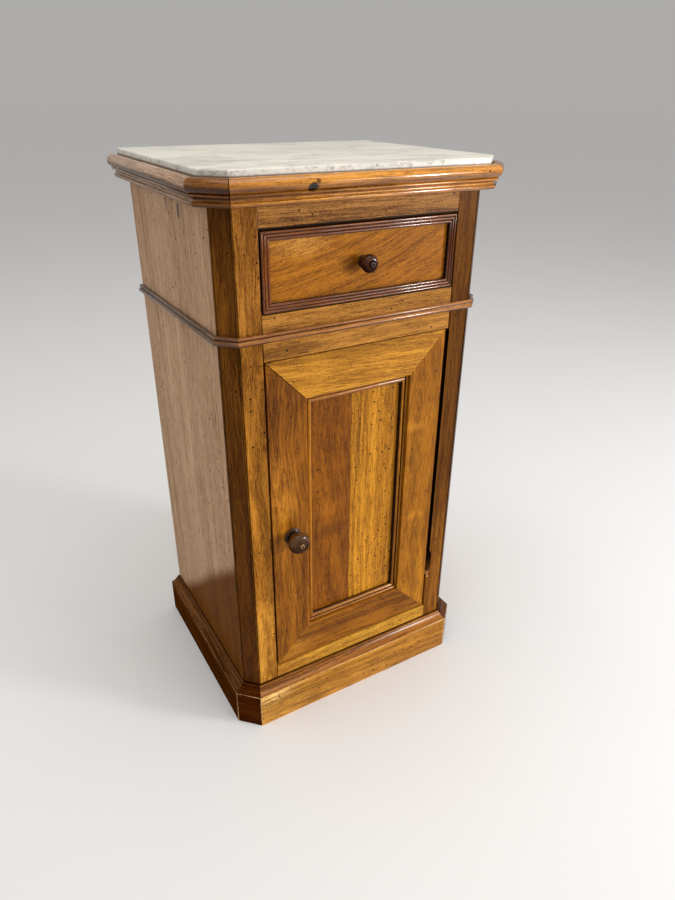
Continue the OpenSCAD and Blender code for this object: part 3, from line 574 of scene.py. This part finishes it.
# how deep the chip is at each height
chipDepths = {0.150: 0.0, 0.1525: 0.0014, 0.156: 0.0017, 0.160: 0.0028, 0.1645: 0.0020,
              0.170: 0.0036, 0.176: 0.0045, 0.183: 0.0038, 0.190: 0.0046, 0.197: 0.0034,
              0.2026: 0.0022}
chipReach, chipWidth = 0.0066, 0.0062               # how far back it goes, and across the front


def pareRightPost(bm):                              # and here a splinter has gone from the arris
    cutLevel(bm, "z", *chipDepths, gapTop)
    cutLevel(bm, "x", -openLeft + chipWidth)
    cutLevel(bm, "y", bodyFront + chipReach)
    chipTop = max(chipDepths)
    for vert in bm.verts:
        onFace = abs(vert.co.x + openLeft) < 1e-4
        onFront = abs(vert.co.y - bodyFront) < 1e-4
        depth = next((deep for at, deep in chipDepths.items() if abs(at - vert.co.z) < 1e-4), 0)
        if onFace and chipTop - 1e-4 < vert.co.z < gapTop + 1e-4:
            vert.co.x += rightEase
        elif onFace and onFront:
            vert.co.x += depth
            vert.co.y += depth * 0.8
        elif onFront and abs(vert.co.x + openLeft - chipWidth) < 1e-4 and depth:
            vert.co.x = -openLeft + depth * 1.4 + 0.0006


# a wash is its direction, where it starts and where it is full, its colour and its share
footLine = ((0, 0, 1), 0.0708, 0.0690, (14, 7, 3), 0.95)     # dirt along the top of the plinth
sideFloorReflection = ((0, 0.81, 1), 0.196, 0.162, (104, 60, 14), 1.0)  # painted reflection: browner towards the front foot, where a dark floor would be mirrored

# a spot is its place, how many of its radii make a metre each way, its colour and its share
finishes = {
    "corner_post_left": walnut("postLeft", (167, 107, 33), 0.8, seed=3, sheen=0.05,
                               heart=(-0.1, 0.155), band=0.01, slope=0.1, sway=0.1, streak=1.2,
                               ink=0.32, holes=0.12, cant=1.15, washes=[
        ((1, 0, 0.0694), -0.131, -0.123, (118, 74, 24), 0.6),
        ((0, 0, 1), 0.590, 0.63, (190, 124, 46), 0.7),
        ((0, 0, 1), 0.3, 0.1, (197, 137, 50), 0.72), footLine]),
    "corner_post_right": walnut("postRight", (96, 55, 9), 0.9, seed=9, sheen=0.05,
                                heart=(-0.1, -0.12), band=0.006, streak=1.1, cant=0.7, washes=[
        ((0, 0, 1), 0.36, 0.13, (148, 92, 28), 0.85), footLine]),
    # torn, gapShade and deep are for the sides of the gaps beside the door; gapShade is near-black
    # painted shade
    "torn": walnut("tornWood", (204, 154, 92), seed=11, ink=0.9, holes=0, sheen=0.02, washes=[
        # the torn wood is pale at the chip's foot; higher up, painted shade darkens it nearly to
        # black
        ((0, 0, 1), 0.158, 0.164, (70, 42, 14), 0.95),
        ((0, 0, 1), 0.166, 0.186, (50, 22, 12), 0.97)]),
    "gapShade": walnut("gapShadeWood", (16, 8, 4), 0.5, seed=13, holes=0, gloss=0.7, sheen=0.0),
    "deep": walnut("deepWood", (96, 60, 28), 0.8, seed=17, holes=0, gloss=0.5),
    "side_board_left": walnut("sideLeft", (182, 147, 117), 0.5, face="yz", seed=5,
                              heart=(0.02, 0.25), band=0.016, streak=0.6, holes=0.18, gloss=0.44,
                              sheen=0.01, grit=0.6, ink=0.3, washes=[sideFloorReflection, footLine], spots=[
        ((bodyLeft, 0.0167, 0.7299), (1, 420, 80), (84, 80, 82), 0.75),
        ((bodyLeft, -0.0267, 0.7266), (1, 260, 105), (70, 72, 78), 0.85)]),
    "side_board_right": walnut("sideRight", (160, 122, 88), 0.5, face="yz", seed=15,
                               heart=(-0.04, -0.25), band=0.016, streak=0.9, holes=0.05, gloss=0.44,
                               sheen=0.02, grit=0.6, ink=0.3, washes=[
        ((0, 0, 1), 0.16, 0.05, (132, 84, 40), 0.6), footLine]),
    "top_rail": walnut("topRail", (146, 97, 42), 1.1, grain="x", seed=21, heart=(-0.1, 0.76),
                       band=0.012, slope=0.02, streak=1.3, ink=0.5, holes=0.12,
                       washes=[((0, 0, 1), 0.7205, 0.7195, (8, 4, 2), 0.96)]),
    "middle_rail": walnut("middleRail", (158, 105, 40), 0.9, grain="x", seed=25, heart=(-0.1, 0.58),
                          band=0.012, slope=0.05, streak=0.8, holes=0.06, spots=[
        ((-0.102, bodyFront, 0.5795), (21, 1, 120), (104, 62, 18), 0.7)]),
    "bottom_rail": walnut("bottomRail", (192, 137, 47), grain="x", seed=29, heart=(-0.11, 0.05),
                          band=0.01, holes=0.2, washes=[
        ((1, 0, 0), -0.05, -0.12, (162, 104, 34), 0.7), footLine]),
    "drawer_front": walnut("drawerField", (155, 94, 18), 0.75, grain="x", seed=33,
                           heart=(-0.08, -0.05), band=0.006, slope=0.0, tilt=0.28, bow=0.85,
                           centre=(0, 0, 0.6715), streak=0.75, ink=0.3, holes=0.05, figure=0.12,
                           grit=0.6, spots=[
        ((-0.085, doorFront, 0.700), (20, 1, 48), (190, 132, 56), 0.8),
        ((-0.09, doorFront, 0.655), (28, 1, 60), (140, 82, 18), 0.4),
        # the third spot is hand grime round the knob together with a painted shadow of the knob
        # falling left
        ((-0.013, doorFront, 0.667), (62, 1, 72), (96, 48, 12), 0.6),
        ((0.08, doorFront, 0.680), (16, 1, 30), (138, 80, 14), 0.5)]),
    "door_rail_top": walnut("doorRailTop", (184, 125, 38), 0.75, grain="x", seed=37,
                            heart=(-0.1, 0.04), band=0.014, tilt=-0.06, centre=(0, 0, 0.54),
                            streak=0.6, ink=0.25, holes=0.12, figure=0.12),
    "door_rail_bottom": walnut("doorRailBottom", (143, 86, 17), grain="x", seed=41,
                               heart=(-0.09, 0.06), band=0.012, streak=0.9, holes=0.1, washes=[
        ((1, 0, 0), -0.04, -0.12, (168, 110, 34), 0.7),
        ((1, 0, 0), 0.02, 0.11, (122, 72, 14), 0.7)], spots=[
        ((-0.03, doorFront, 0.121), (12, 1, 80), (104, 56, 14), 0.75)]),
    "door_stile_left": walnut("doorStileLeft", (133, 78, 13), 0.95, seed=45, heart=(-0.1, 0.06),
                              band=0.009, slope=0.12, sway=0.08, streak=1.1, holes=0.06,
                              figure=0.14, grit=0.6, spots=[
        ((-0.118, doorFront, 0.37), (36, 1, 10), (176, 112, 32), 0.6),
        ((-0.1, doorFront, 0.51), (26, 1, 20), (112, 64, 10), 0.4)]),
    "door_stile_right": walnut("doorStileRight", (144, 88, 13), 0.85, seed=49, heart=(-0.1, -0.07),
                               band=0.014, sway=0.06, streak=0.8, holes=0.08, figure=0.2,
                               washes=[((0, 0, 1), 0.26, 0.12, (166, 106, 20), 0.7)], spots=[
        # both spots are pale flame figure with painted highlights on it, where the polish catches
        # the light
        ((0.0928, doorFront, 0.434), (36, 1, 95), (198, 130, 40), 0.4),
        ((0.101, doorFront, 0.281), (40, 1, 100), (196, 126, 38), 0.4)]),
    "door_panel_left": walnut("doorPanelLeft", (131, 74, 9), 0.9, seed=53, heart=(-0.08, 0.09),
                              band=0.014, slope=0.1, sway=0.06, streak=0.8, holes=0.12, figure=0.2,
                              washes=[((1, 0, 0), -0.04, -0.008, (110, 60, 12), 0.4)], spots=[
        ((-0.036, panelFront, 0.296), (30, 1, 60), (84, 42, 8), 0.6),
        ((-0.045, panelFront, 0.330), (32, 1, 80), (172, 106, 28), 0.3)]),
    "door_panel_right": walnut("doorPanelRight", (184, 122, 29), 0.85, seed=57, heart=(-0.09, -0.1),
                               band=0.008, streak=1.0, holes=1.0, figure=0.06, washes=[
        ((1, 0, 0), 0.04, 0.085, (136, 82, 22), 0.45)]),
    "door_bead_left": walnut("doorBeadLeft", (162, 102, 26), 0.8, seed=61, gloss=0.3, holes=0,
                             washes=[((1, 0, 0), -0.0776, -0.0784, (40, 15, 5), 0.92),
                                     ((1, 0, 0), -0.0710, -0.0704, (40, 21, 7), 0.85)]),
    "door_bead_right": walnut("doorBeadRight", (156, 98, 26), 0.8, seed=63, gloss=0.3, holes=0,
                              # the first wash is painted shade, near black, in the corner where the
                              # bead meets the panel
                              washes=[((0, 1, 0), -0.1336, -0.1328, (12, 6, 2), 0.95),
                                      ((1, 0, 0), 0.0781, 0.0786, (44, 23, 8), 0.85)]),
    "door_bead_x": walnut("doorBeadLevel", (162, 102, 34), 0.8, grain="x", seed=62, gloss=0.2,
                          holes=0, sheen=0.5, under=0.7, bump=0.15),
    "drawer_mould_left": walnut("drawerMouldLeft", (122, 66, 20), 0.9, seed=65, gloss=0.18,
                                holes=0, sheen=0.22, dirt=1.0, dirtFrom=0.12, bump=0.15),
    "drawer_mould_right": walnut("drawerMouldRight", (88, 44, 12), 0.9, seed=67, gloss=0.18,
                                 holes=0, sheen=0.22, dirt=1.0, dirtFrom=0.12, bump=0.15),
    "drawer_mould_x": walnut("drawerMouldLevel", (120, 64, 18), 0.9, grain="x", seed=66, gloss=0.1,
                             holes=0, sheen=0.6, dirt=1.0, dirtFrom=0.12, under=1.0, bump=0.08),
    "cornice": walnut("cornice", (199, 132, 50), 0.9, grain="x", face="xy", seed=69, band=0.01,
                      streak=1.2, holes=0, gloss=0.13, sheen=0.5, dirt=1.0, dirtFrom=0.18,
                      under=0.8, bump=0.1, washes=[
        ((1, 0, 0), -0.07, -0.16, (160, 98, 36), 0.5)], spots=[
        ((-0.0817, corniceFront, 0.7609), (150, 1, 200), (52, 24, 8), 0.9),
        ((-0.0817, corniceFront, 0.7609), (190, 1, 250), (8, 6, 5), 0.97),
        ((-0.0812, corniceFront, 0.7600), (480, 1, 620), (66, 66, 68), 0.8),
        ((-0.0760, corniceFront, 0.7665), (330, 1, 420), (84, 40, 14), 0.85),
        ((0.1561, corniceFront, 0.7662), (620, 1, 620), (30, 14, 8), 0.95)]),
    "cornice_side": walnut("corniceSide", (176, 144, 120), 0.8, grain="y", face="xy", seed=71,
                           holes=0, gloss=0.3, sheen=0.15, under=0.95, bump=0.2),
    "cornice_cantLeft": walnut("corniceCantLeft", (132, 80, 26), grain="cantLeft", seed=73,
                               holes=0, gloss=0.2, sheen=0.3, under=1.0, bump=0.2),
    "cornice_cantRight": walnut("corniceCantRight", (122, 72, 28), grain="cantRight", seed=74,
                                holes=0, gloss=0.2, sheen=0.5, under=0.9, bump=0.2),
    "string": walnut("stringMould", (176, 114, 54), 0.8, grain="x", face="xy", seed=77, holes=0,
                     gloss=0.17, sheen=0.45, under=0.9, bump=0.12),
    "string_side": walnut("stringSide", (120, 94, 74), 0.7, grain="y", face="xy", seed=79,
                          holes=0, gloss=0.3, sheen=0.3, under=0.8, bump=0.2),
    "string_cantLeft": walnut("stringCantLeft", (116, 74, 40), 0.8, grain="cantLeft", seed=80,
                              holes=0, gloss=0.25, sheen=0.4, under=0.8, bump=0.2),
    "string_cantRight": walnut("stringCantRight", (116, 74, 40), 0.8, grain="cantRight", seed=82,
                               holes=0, gloss=0.25, sheen=0.4, under=0.8, bump=0.2),
    "plinth": walnut("plinthFront", (185, 126, 42), 0.9, grain="x", seed=81, heart=(-0.12, 0.0),
                     band=0.01, streak=0.9, holes=0.3, wear=0.95, figure=0.14, washes=[
        ((1, 0, 0), -0.06, -0.15, (208, 150, 60), 0.8),
        ((1, 0, 0), 0.03, 0.15, (164, 106, 30), 0.7)], spots=[
        ((-0.150, plinthFront, 0.050), (22, 1, 60), (222, 172, 96), 0.7),
        ((0.09, plinthFront, 0.030), (14, 1, 60), (200, 136, 44), 0.6)]),
    "plinth_mould": walnut("plinthMould", (152, 93, 26), 0.9, grain="x", seed=84, holes=0,
                           gloss=0.28, sheen=0.35, bump=0.12, dirt=1.0, dirtFrom=0.2),
    "plinth_side": walnut("plinthSide", (72, 37, 9), 1.0, grain="y", face="yz", seed=83,
                          holes=0.12, gloss=0.4, sheen=0.0, wear=0.8, worn=(150, 104, 66),
                          washes=[((0, 0, 1), 0.0545, 0.0575, (112, 74, 42), 0.65)]),
    "plinth_cantLeft": walnut("plinthCantLeft", (76, 35, 9), 0.9, grain="cantLeft", seed=85,
                              holes=0.05, gloss=0.34, sheen=0.0),
    "plinth_cantRight": walnut("plinthCantRight", (96, 58, 34), 0.9, grain="cantRight", seed=87,
                               holes=0.05, gloss=0.34),
}
print("walnut finishes:", len(finishes))

# the faces of the posts that take another finish
jambNear, leftJambFar, jambReach = 0.134, 0.1375, 0.1415     # where they lie, from the middle
mouthBack = bodyFront + chipReach + 1e-4


def leftJamb(spot, facing):
    return facing.x > 0.7 and -leftJambFar < spot.x < -jambNear and gapFoot < spot.z < gapTop


def rightJamb(spot, facing):
    return facing.x < -0.9 and jambNear < spot.x < jambReach and gapFoot < spot.z < gapTop


def jambMouth(spot, facing):                        # the front of the right one, in deep shade
    return (facing.x < -0.3 and jambNear < spot.x < jambReach and gapFoot < spot.z < gapTop
            and spot.y < mouthBack)


def chipFaces(spot, facing):
    slanting = abs(facing.x) > 0.12 and abs(facing.y) > 0.12
    return (slanting and spot.x < jambReach and spot.y < mouthBack
            and min(chipDepths) < spot.z < max(chipDepths))


def sideStrip(spot, facing):                        # what lies level with the side board
    return abs(facing.x) > 0.99 and abs(spot.x) > -bodyLeft - 1e-4


postLines = [("z", bodyLeft, cantSide), ("z", cantFront, bodyFront)]
postLinesRight = [("z", -bodyLeft, cantSide), ("z", -cantFront, bodyFront)]
boardPiece("corner_post_left", finishes["corner_post_left"], 0.0004, postLines, change=pareLeftPost,
           looks=[(sideStrip, finishes["side_board_left"]), (leftJamb, finishes["deep"])])
boardPiece("corner_post_right", finishes["corner_post_right"], 0.0004, postLinesRight,
           change=pareRightPost,
           looks=[(sideStrip, finishes["side_board_right"]), (rightJamb, finishes["deep"]),
                  (jambMouth, finishes["gapShade"]), (chipFaces, finishes["torn"])])
for node in ("side_board_left", "side_board_right", "top_rail", "middle_rail", "bottom_rail"):
    boardPiece(node, finishes[node])
print("carcass done")

# marble
bm = merged("marble_top")
rounded(bm, corners(bm), 0.0016, 4)
standIn(bm, "marble_top", marbleFinish())


# mouldings round the body, and what age has done to them and to the door
mitreGap, doorMitreGap = 0.001, 0.0013
stringSlope, slopeFrom = 0.021, -0.144


def droop(bm):                                      # the string's left length was nailed on askew
    for vert in bm.verts:
        vert.co.z -= stringSlope * (vert.co.y - slopeFrom)


def openMitre(bm):                                  # the cornice's front left mitre has opened
    end = min(vert.co.x for vert in bm.verts)
    for vert in bm.verts:
        if vert.co.x < end + 0.02:
            vert.co.x += mitreGap


ringIn, plinthArris = 0.0019, 0.057                 # how far in, and the worn arris's height
cantShift = plinthReach * math.tan(math.pi / 8)
frontEnd = Vector((cantFront - cantShift, plinthFront, 0))
sideEnd = Vector((bodyLeft - plinthReach, cantSide - cantShift, 0))
plinthRubs = [("z", side * end.x, end.y) for end in (frontEnd, sideEnd) for side in (1, -1)]


def ringPlinth(place):                              # edges just inside the worn arrises
    side = -1 if place.endswith("right") else 1

    def change(bm):
        cutLevel(bm, "z", plinthArris - ringIn)
        if place == "front":
            cutLevel(bm, "x", frontEnd.x + ringIn, -frontEnd.x - ringIn)
        elif "cant" in place:
            run = (frontEnd - sideEnd).normalized()
            for point in (sideEnd + run * ringIn, frontEnd - run * ringIn):
                cutPlane(bm, (point.x * side, point.y, 0), (run.x * side, run.y, 0))
        else:
            cutLevel(bm, "y", sideEnd.y + ringIn)
    return change


def moulded(spot, facing):                          # the plinth's moulding, above its flat face
    return spot.z > plinthArris + 0.0004


for place in ("front", "left", "right", "cant_left", "cant_right"):
    kind = {"front": "", "left": "_side", "right": "_side"}.get(place, "_" + nameFor(place))
    profilePiece(f"cornice_{place}", finishes["cornice" + kind], 0.0004,
                 change=openMitre if place == "front" else None)
    profilePiece(f"string_{place}", finishes["string" + kind], 0.0003,
                 change=droop if place == "left" else None)
    profilePiece(f"plinth_{place}", finishes["plinth" + kind], 0.0007, plinthRubs,
                 ringPlinth(place), rubLevel=plinthArris,
                 looks=[(moulded, finishes["plinth_mould"])] if place == "front" else ())
print("mouldings done")


# drawer and door
fieldEnd = 0.1235                                   # the right end of the drawer's field
doorCorner, panelCorner = Vector((-0.1325, 0, 0.568)), Vector((-0.0795, 0, 0.5125))
mitreEnd = -0.07                                    # just past the panel's corner


def innerSide(spot, facing):                        # in deep shade beside the drawer's field
    return facing.x < -0.9 and spot.x < fieldEnd


def openCorner(bm):                                 # the top left mitre of the door gapes a little
    fall = (doorCorner.z - panelCorner.z) / (panelCorner.x - doorCorner.x)
    for vert in bm.verts:
        mitre = doorCorner.z - fall * (vert.co.x - doorCorner.x)
        if vert.co.x < mitreEnd and abs(mitre - vert.co.z) < 2e-4:
            vert.co.z -= doorMitreGap


boardPiece("drawer_front", finishes["drawer_front"])
for side in ("top", "bottom", "left", "right"):
    run, sides = ("x", "z") if side in ("top", "bottom") else ("z", "x")
    kind = "x" if run == "x" else side
    profilePiece(f"drawer_mould_{side}", finishes["drawer_mould_" + kind], 0.0002, dirty=sides,
                 looks=[(innerSide, finishes["gapShade"])] if side == "right" else ())
    profilePiece(f"door_bead_{side}", finishes["door_bead_" + kind], 0.0003, dirty=sides)
for node in ("door_rail_top", "door_rail_bottom", "door_stile_left", "door_stile_right",
             "door_panel_left", "door_panel_right"):
    boardPiece(node, finishes[node], change=openCorner if node == "door_stile_left" else None)
print("drawer and door done")

doorKnob = dict(node="door_knob", ball=0.0155, thick=0.016, reach=0.031, foot=0.0125,
                neck=0.0055, button=0.0035, hole=0.0013, start=0.0003)
drawerKnob = dict(node="drawer_knob", ball=0.011, thick=0.013, reach=0.024, foot=0.0075,
                  neck=0.0048, button=0.0032, hole=0.0012, start=0.0)


def knobProfile(knob):
    # radius, distance out from the face and grime, from the foot to the middle of the button
    foot, neck, button, hole, reach, start = (
        knob[part] for part in ("foot", "neck", "button", "hole", "reach", "start"))
    edge = knob["thick"] / 2
    middle = reach - 0.003 - edge
    line = [(foot - 0.0006, start, 1), (foot - 0.0001, start + 0.0006, 0),
            (foot, 0.0014, 0), (foot - 0.0003, 0.0022, 0), (foot - 0.0012, 0.0028, 0),
            (foot - 0.0024, 0.0029, 1), (foot - 0.0026, 0.0033, 1), (foot - 0.0018, 0.0038, 0),
            (foot - 0.0017, 0.0044, 0), (foot - 0.0023, 0.005, 1), (neck + 0.0006, 0.0055, 0.5),
            (neck, 0.0068, 0.3), (neck + 0.0002, middle - edge + 0.0002, 1)]
    for step in range(-7, 9):
        angle = math.radians(step * 10.4)
        radius = knob["ball"] - edge + edge * math.cos(angle)
        line.append((radius, middle + edge * math.sin(angle), 0))
    top = middle + edge
    rim = line[-1][0]
    line += [(rim - 0.0003, top - 0.0004, 1), (rim - 0.0008, top - 0.0004, 1),
             (rim - 0.0011, top + 0.0003, 0), (button + 0.0012, top + 0.0006, 0),
             (button + 0.0008, top - 0.0001, 1), (button + 0.0002, top - 0.0001, 1),
             (button, top + 0.0008, 0), (button - 0.0003, reach - 0.0009, 0),
             (button - 0.0011, reach - 0.0002, 0), (hole + 0.0003, reach, 0),
             (hole, reach - 0.0003, 1), (hole - 0.0002, reach - 0.0016, 1),
             (0, reach - 0.0018, 1)]
    return line


def turnedKnob(knob, material):
    low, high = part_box(knob["node"])
    centre = Vector(((low.x + high.x) / 2, low.y + knob["reach"], (low.z + high.z) / 2))
    bm = bmesh.new()
    grime = bm.verts.layers.float.new("grime")
    tail = high.y - centre.y
    line = [(0, -tail, 0), (0.004, -tail, 0), (0.004, knob["start"], 0), *knobProfile(knob)]
    verts = []
    for radius, out, dirty in line:
        vert = bm.verts.new(centre + Vector((radius, -out, 0)))
        vert[grime] = dirty
        verts.append(vert)
    edges = [bm.edges.new(pair) for pair in zip(verts, verts[1:])]
    bmesh.ops.spin(bm, geom=verts + edges, cent=centre, axis=(0, 1, 0), angle=math.tau, steps=72,
                   use_merge=True)
    bmesh.ops.remove_doubles(bm, verts=bm.verts, dist=1e-6)
    return standIn(bm, knob["node"], material, 44)


def buttonEnd(knob, worn, share):
    low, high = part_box(knob["node"])
    return ((low.x + high.x) / 2, (low.z + high.z) / 2, low.y + 0.0022), knob["button"], worn, share


turnedKnob(doorKnob, turnedWood("doorKnob", (80, 48, 18), 0.25,
                                tip=buttonEnd(doorKnob, (156, 116, 74), 0.7)))
turnedKnob(drawerKnob, turnedWood("drawerKnob", (72, 34, 13), 0.25,
                                  tip=buttonEnd(drawerKnob, (92, 84, 78), 0.6)))
print("knobs done")

# inside
iron = ironFinish()
insideLooks = {
    "back_rails": ("x", 3), "back_boards": ("z", 5), "cupboard_floor": ("x", 7),
    "shelf": ("x", 9), "battens": ("y", 11), "dust_board": ("x", 13),
    "drawer_runners": ("y", 15), "drawer_guides": ("y", 17), "drawer_kickers": ("y", 19),
    "glue_blocks": ("x", 21), "door_stop": ("z", 23), "drawer_side_left": ("y", 25),
    "drawer_side_right": ("y", 27), "drawer_back": ("x", 29), "drawer_bottom": ("x", 31),
}
for node, (grain, seed) in insideLooks.items():
    boardPiece(node, plainWood(nameFor(node), (206, 172, 122), (164, 124, 78), grain, seed), 0.0004)
for node in ("socket_plates", "socket_screws", "pivot_plates", "pivot_screws"):
    cadNodes[node].data.materials.clear()
    cadNodes[node].data.materials.append(iron)
boardPiece("turn_button", turnedWood("turnButton", (96, 60, 36), 0.4), 0.0006)
print("inside done")

# floor, light and camera
studio = dict(floor=(0.85, 0.84, 0.825), world=(0.89, 0.88, 0.87), fill=0.55)

bm = bmesh.new()
bmesh.ops.create_circle(bm, cap_ends=True, segments=96, radius=40)
mesh = bpy.data.meshes.new("studioFloor")
bm.to_mesh(mesh)
bm.free()
floor = bpy.data.objects.new("studioFloor", mesh)
bpy.context.scene.collection.objects.link(floor)
floorShade = Shade("studioFloor")
faint = floorShade.noise(floorShade.place, 3.0, 4.0, 0.6)
pale = studio["floor"]
floorColour = floorShade.mix((*pale, 1), tinted(pale, 0.97, 0.97, 0.97), faint)
floorFinish = floorShade.finish(floorColour, 0.75, faint, 0.05, 0.001, Specular_IOR_Level=0.1)
mesh.materials.append(floorFinish)

world = bpy.data.worlds.new("studioWorld")
bpy.context.scene.world = world
world.use_nodes = True
nodes, links = world.node_tree.nodes, world.node_tree.links
nodes.clear()
path = nodes.new("ShaderNodeLightPath")
around = nodes.new("ShaderNodeBackground")
around.inputs["Color"].default_value = (*studio["world"], 1)
around.inputs["Strength"].default_value = studio["fill"]
behind = nodes.new("ShaderNodeBackground")          # what the camera sees beyond the floor
behind.inputs["Color"].default_value = tuple(
    ground * sky * studio["fill"] for ground, sky in zip(studio["floor"], studio["world"])) + (1,)
blend = nodes.new("ShaderNodeMixShader")
links.new(path.outputs["Is Camera Ray"], blend.inputs[0])
links.new(around.outputs[0], blend.inputs[1])
links.new(behind.outputs[0], blend.inputs[2])
surface = nodes.new("ShaderNodeOutputWorld")
links.new(blend.outputs[0], surface.inputs[0])

lamps = {
    "windowLamp": dict(place=(1.61, -2.0, 0.95), aim=(0, -0.1, 0.5), size=(1.8, 0.45), power=19),
    "keyLamp": dict(place=(1.83, -1.8, 0.9), aim=(0, -0.1, 0.5), size=(0.4, 0.4), power=31),
    "topLamp": dict(place=(-0.2, -0.4, 3.0), aim=(0, 0, 0.3), size=(2.2, 2.2), power=31),
    "leftLamp": dict(place=(-2.4, 0.6, 1.5), aim=(0, 0, 0.4), size=(1.6, 1.6), power=8),
}
for name, lamp in lamps.items():
    light = bpy.data.lights.new(name, "AREA")
    light.shape = "RECTANGLE"
    light.size, light.size_y = lamp["size"]
    light.energy = lamp["power"]
    thing = bpy.data.objects.new(name, light)
    thing.location = lamp["place"]
    facing = Vector(lamp["aim"]) - Vector(lamp["place"])
    thing.rotation_euler = facing.to_track_quat("-Z", "Y").to_euler()
    thing.visible_camera = False
    bpy.context.scene.collection.objects.link(thing)

shot = dict(place=(-0.4372, -0.8174, 0.849), yaw=30.72, pitch=-28.05, roll=0.57, lens=26.996)
camera = bpy.data.cameras.new("photoCamera")
camera.lens, camera.sensor_width = shot["lens"], 36
yaw, pitch, roll = (math.radians(shot[turn]) for turn in ("yaw", "pitch", "roll"))
ahead = Vector((math.sin(yaw) * math.cos(pitch), math.cos(yaw) * math.cos(pitch), math.sin(pitch)))
level = Vector((math.cos(yaw), -math.sin(yaw), 0))
upright = level.cross(ahead)
across = level * math.cos(roll) + upright * math.sin(roll)
above = upright * math.cos(roll) - level * math.sin(roll)
seat = Matrix((across, above, -ahead)).transposed().to_4x4()
seat.translation = Vector(shot["place"])
cameraObject = bpy.data.objects.new("photoCamera", camera)
cameraObject.matrix_world = seat
bpy.context.scene.collection.objects.link(cameraObject)
bpy.context.scene.camera = cameraObject
bpy.context.scene.view_settings.view_transform = "Standard"
print("studio done")
